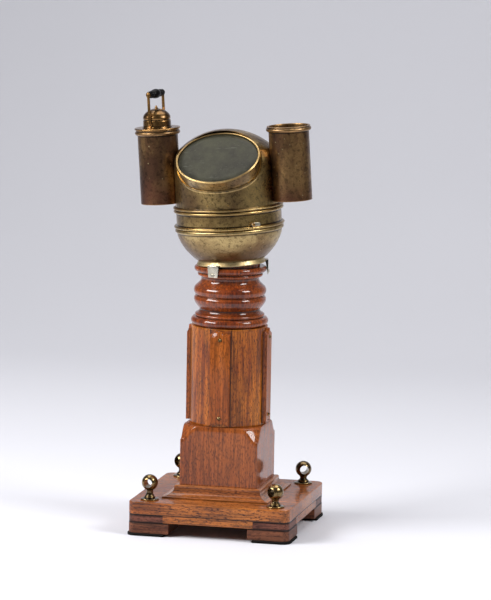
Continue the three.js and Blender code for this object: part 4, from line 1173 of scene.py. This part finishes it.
# %% Grip
grip_line = np.vstack([
    [[2.7, -32.2], [6.8, -32.2], [7.6, -31.2], [7.6, -29.4], [6.2, -28.4], [6.0, -27.2]],
    arc((3.2, -21), (5.4, 5.6), -66, 50, 9),
    [[5.4, -15.8]],
    arc((0, 0), (10.9, 19.5), -52, 52, 17),
    [[5.4, 15.8]],
    arc((3.2, 21), (5.4, 5.6), -50, 66, 9),
    [[6.0, 27.2], [6.2, 28.4], [7.6, 29.4], [7.6, 31.2], [6.8, 32.2], [2.7, 32.2]],
])
grip = laid(lathe(grip_line, 0.5, 3, 48, closed=True), level=BAIL_ROD_Z)
piece("ebonite_grip", [moved(grip, on_head, BAIL_TURN, LAMP_AT)], grip_ebonite, "grip", "black_ebonite",
      ["bail_grip"])

# %% [markdown]
# ## Hood catch
# A turn-button on a stud in the band. Swung down, its tip lies in front of the bowl's lip.

# %% Catch
CATCH_TURN, CATCH_LEVEL = 38.5, 107.8
stud_line = [(0, 120.3), (4, 120.3), (4, 126.4), (2.2, 126.7), (2.2, 130.6), (4, 130.9), (3.4, 132.4),
             (0, 133)]
stud = laid(lathe(stud_line, 0.3, around=28), -1, 0, CATCH_LEVEL, proud=True)
piece("catch_screw", [moved(stud, on_head, CATCH_TURN)], dull_brass, "hood", "bright_brass", ["catch_stud"])
back_arc = np.radians(np.linspace(90, 270, 13))
button_outline = np.vstack([np.column_stack([4.4 * np.cos(back_arc), 4.4 * np.sin(back_arc)]),
                            [[15, -3.4], [17, -1.6], [17, 1.6], [15, 3.4]]])
button = laid(slab(button_outline, 127.2, 130.2, 0.5, 0.5, calm=0), -1, 0, CATCH_LEVEL)
catch = piece("turn_button", [moved(button, on_head, CATCH_TURN)], clip_metal, "catch", "nickel_silver",
              ["hood_catch"])
bore = laid(revolve([(0, 120), (2.6, 120), (2.6, 140), (0, 140)], 24), -1, 0, CATCH_LEVEL)
carve(catch, [moved(bore, on_head, CATCH_TURN)])

# %% [markdown]
# ## Gimbals and compass
# The ring swings on two fore-and-aft pins in the bowl, and the compass swings on two athwartship pins in the
# ring, so it stays level as the boat rolls and pitches. The compass is a weighted cup with a glass, a pivot
# and a printed card.

# %% Ring
ring_shell = lathe([(90, -4.5), (96, -4.5), (96, 4.5), (90, 4.5)], 0.8, 3, closed=True)


def pin_along(start, stop, radius=2.8):
    """A short pin on the Y axis with a rounded end"""
    return laid(lathe([(0, start), (radius, start), (radius, stop), (0, stop)], 0.5, around=20), proud=True)


ring = piece("gimbal_hoop", [moved(ring_shell, on_gimbal)], bright_brass, "ring", "bright_brass",
             ["gimbal_ring"])
carve(ring, [moved(pin_along(-120, 120, 3.2), on_gimbal, 90)])
pins = [moved(pin_along(94, 111), on_gimbal, turn) for turn in (0, 180)]
piece("gimbal_pins", pins, bright_brass, "ring", "bright_brass")

# %% Compass
cup_line = [(0, -52), (28, -52), (46, -46), (62, -33), (73, -18), (78.6, -3), (80, 4.6), (84, 6), (84, 13),
            (82.6, 14), (78.2, 14), (78.2, 8), (76.4, 8), (76.4, -1), (70.4, -18), (60, -31), (44.6, -43),
            (28, -49), (0, -49)]
cup = [moved(lathe(cup_line, 1.2, around=120), on_gimbal)]
cup += [moved(pin_along(78.6, 95.4), on_gimbal, turn) for turn in (90, 270)]
piece("compass_cup", cup, hood_brass, "compass", "aged_brass", ["compass_bowl"])
pivot_line = [(0, -48.7), (9, -48.7), (9, -45), (3.4, -41), (3.4, -8), (0.8, -3.4), (0, -2.6)]
piece("compass_pivot_post", [moved(lathe(pivot_line, 0.5, around=32), on_gimbal)], bright_brass, "compass",
      "bright_brass", ["compass_pivot"])
pane = lathe([(0, 8.3), (77.6, 8.3), (77.6, 11), (0, 11)], 0.5, around=96)
piece("compass_pane", [moved(pane, on_gimbal)], clear_glass, "compass", "window_glass", ["compass_glass"])
card_line = [(0, -1.4), (2, -4.6), (5, -4.6), (6, -3.4), (68, -3.4), (68, -2.4), (7, -2.4), (5, 1.6),
             (0, 2.4)]
piece("printed_card", [moved(lathe(card_line, 0.3), on_gimbal)], card_paper, "card", "compass_card",
      ["compass_card"])

# %% [markdown]
# ## Floor and light
# A pale sweep of card runs under the binnacle and curls up behind it, with no corner to see. Two soft boxes
# stand left and right of the camera, and a broad light overhead lifts the floor to nearly white.

# %% Sweep
t = np.linspace(0, np.pi / 2, 24)
depth = np.concatenate([[-8.0, 1.0], 2.2 + 2.6 * np.sin(t), [4.8, 4.8]])
height = np.concatenate([[0.0, 0.0], 2.6 * (1 - np.cos(t)), [4.0, 7.0]])
width = np.linspace(-5, 5, 3)
rows = np.stack([np.column_stack([width, np.full(3, y), np.full(3, z)]) for y, z in zip(depth, height)])
points, faces = skin(rows, ring=False)
sweep_mesh = bpy.data.meshes.new("sweep")
sweep_mesh.from_pydata(points.tolist(), [], faces[0].tolist())
sweep_mesh.update()
sweep_mesh.shade_smooth()
sweep = bpy.data.objects.new("sweep", sweep_mesh)
bpy.context.scene.collection.objects.link(sweep)
sweep_card, tree, place = new_material("matt studio card")
mottle = noise(tree, place, 1.5, 2.0)
card = add(tree, "ShaderNodeBsdfPrincipled", {
    "Base Color": blend_colour(tree, mottle, "#d6d6dc", "#d9d9df"), "Roughness": 0.9,
    "Specular IOR Level": 0.1})
# Seen from its back the card lets light through, so that the binnacle can be looked at from behind.
gone = add(tree, "ShaderNodeBsdfTransparent")
one_way = add(tree, "ShaderNodeMixShader", {0: add(tree, "ShaderNodeNewGeometry").outputs["Backfacing"],
                                            1: card.outputs[0], 2: gone.outputs[0]})
add(tree, "ShaderNodeOutputMaterial", {"Surface": one_way.outputs[0]})
sweep_mesh.materials.append(sweep_card)


# %% Lights
def softbox(name, azimuth, height, away, size, power, aim_height=0.5):
    """A rectangular light at an azimuth from the front, turned towards the binnacle's axis."""
    data = bpy.data.lights.new(name, "AREA")
    data.shape = "RECTANGLE"
    data.size, data.size_y = size
    data.energy = power
    a = math.radians(azimuth)
    spot = np.array([away * math.sin(a), -away * math.cos(a), height])
    back = spot - [0, 0, aim_height]
    back /= np.linalg.norm(back)
    side = np.cross([0, 0, 1.0], back)
    side /= np.linalg.norm(side)
    put(bpy.data.objects.new(name, data), spot, side, np.cross(back, side), back)


softbox("left box", -54, 2.6, 3.0, (2.2, 1.4), 170)
softbox("right box", 74, 2.8, 3.0, (1.3, 1.3), 85)
softbox("overhead", 180, 4.4, 0.8, (4.0, 3.0), 100, 0.0)
world = bpy.data.worlds.new("studio")
world.use_nodes = True
world.node_tree.nodes["Background"].inputs[0].default_value = linear("#b9b9bf")
world.node_tree.nodes["Background"].inputs[1].default_value = 0.2
bpy.context.scene.world = world
bpy.context.scene.view_settings.view_transform = "Standard"
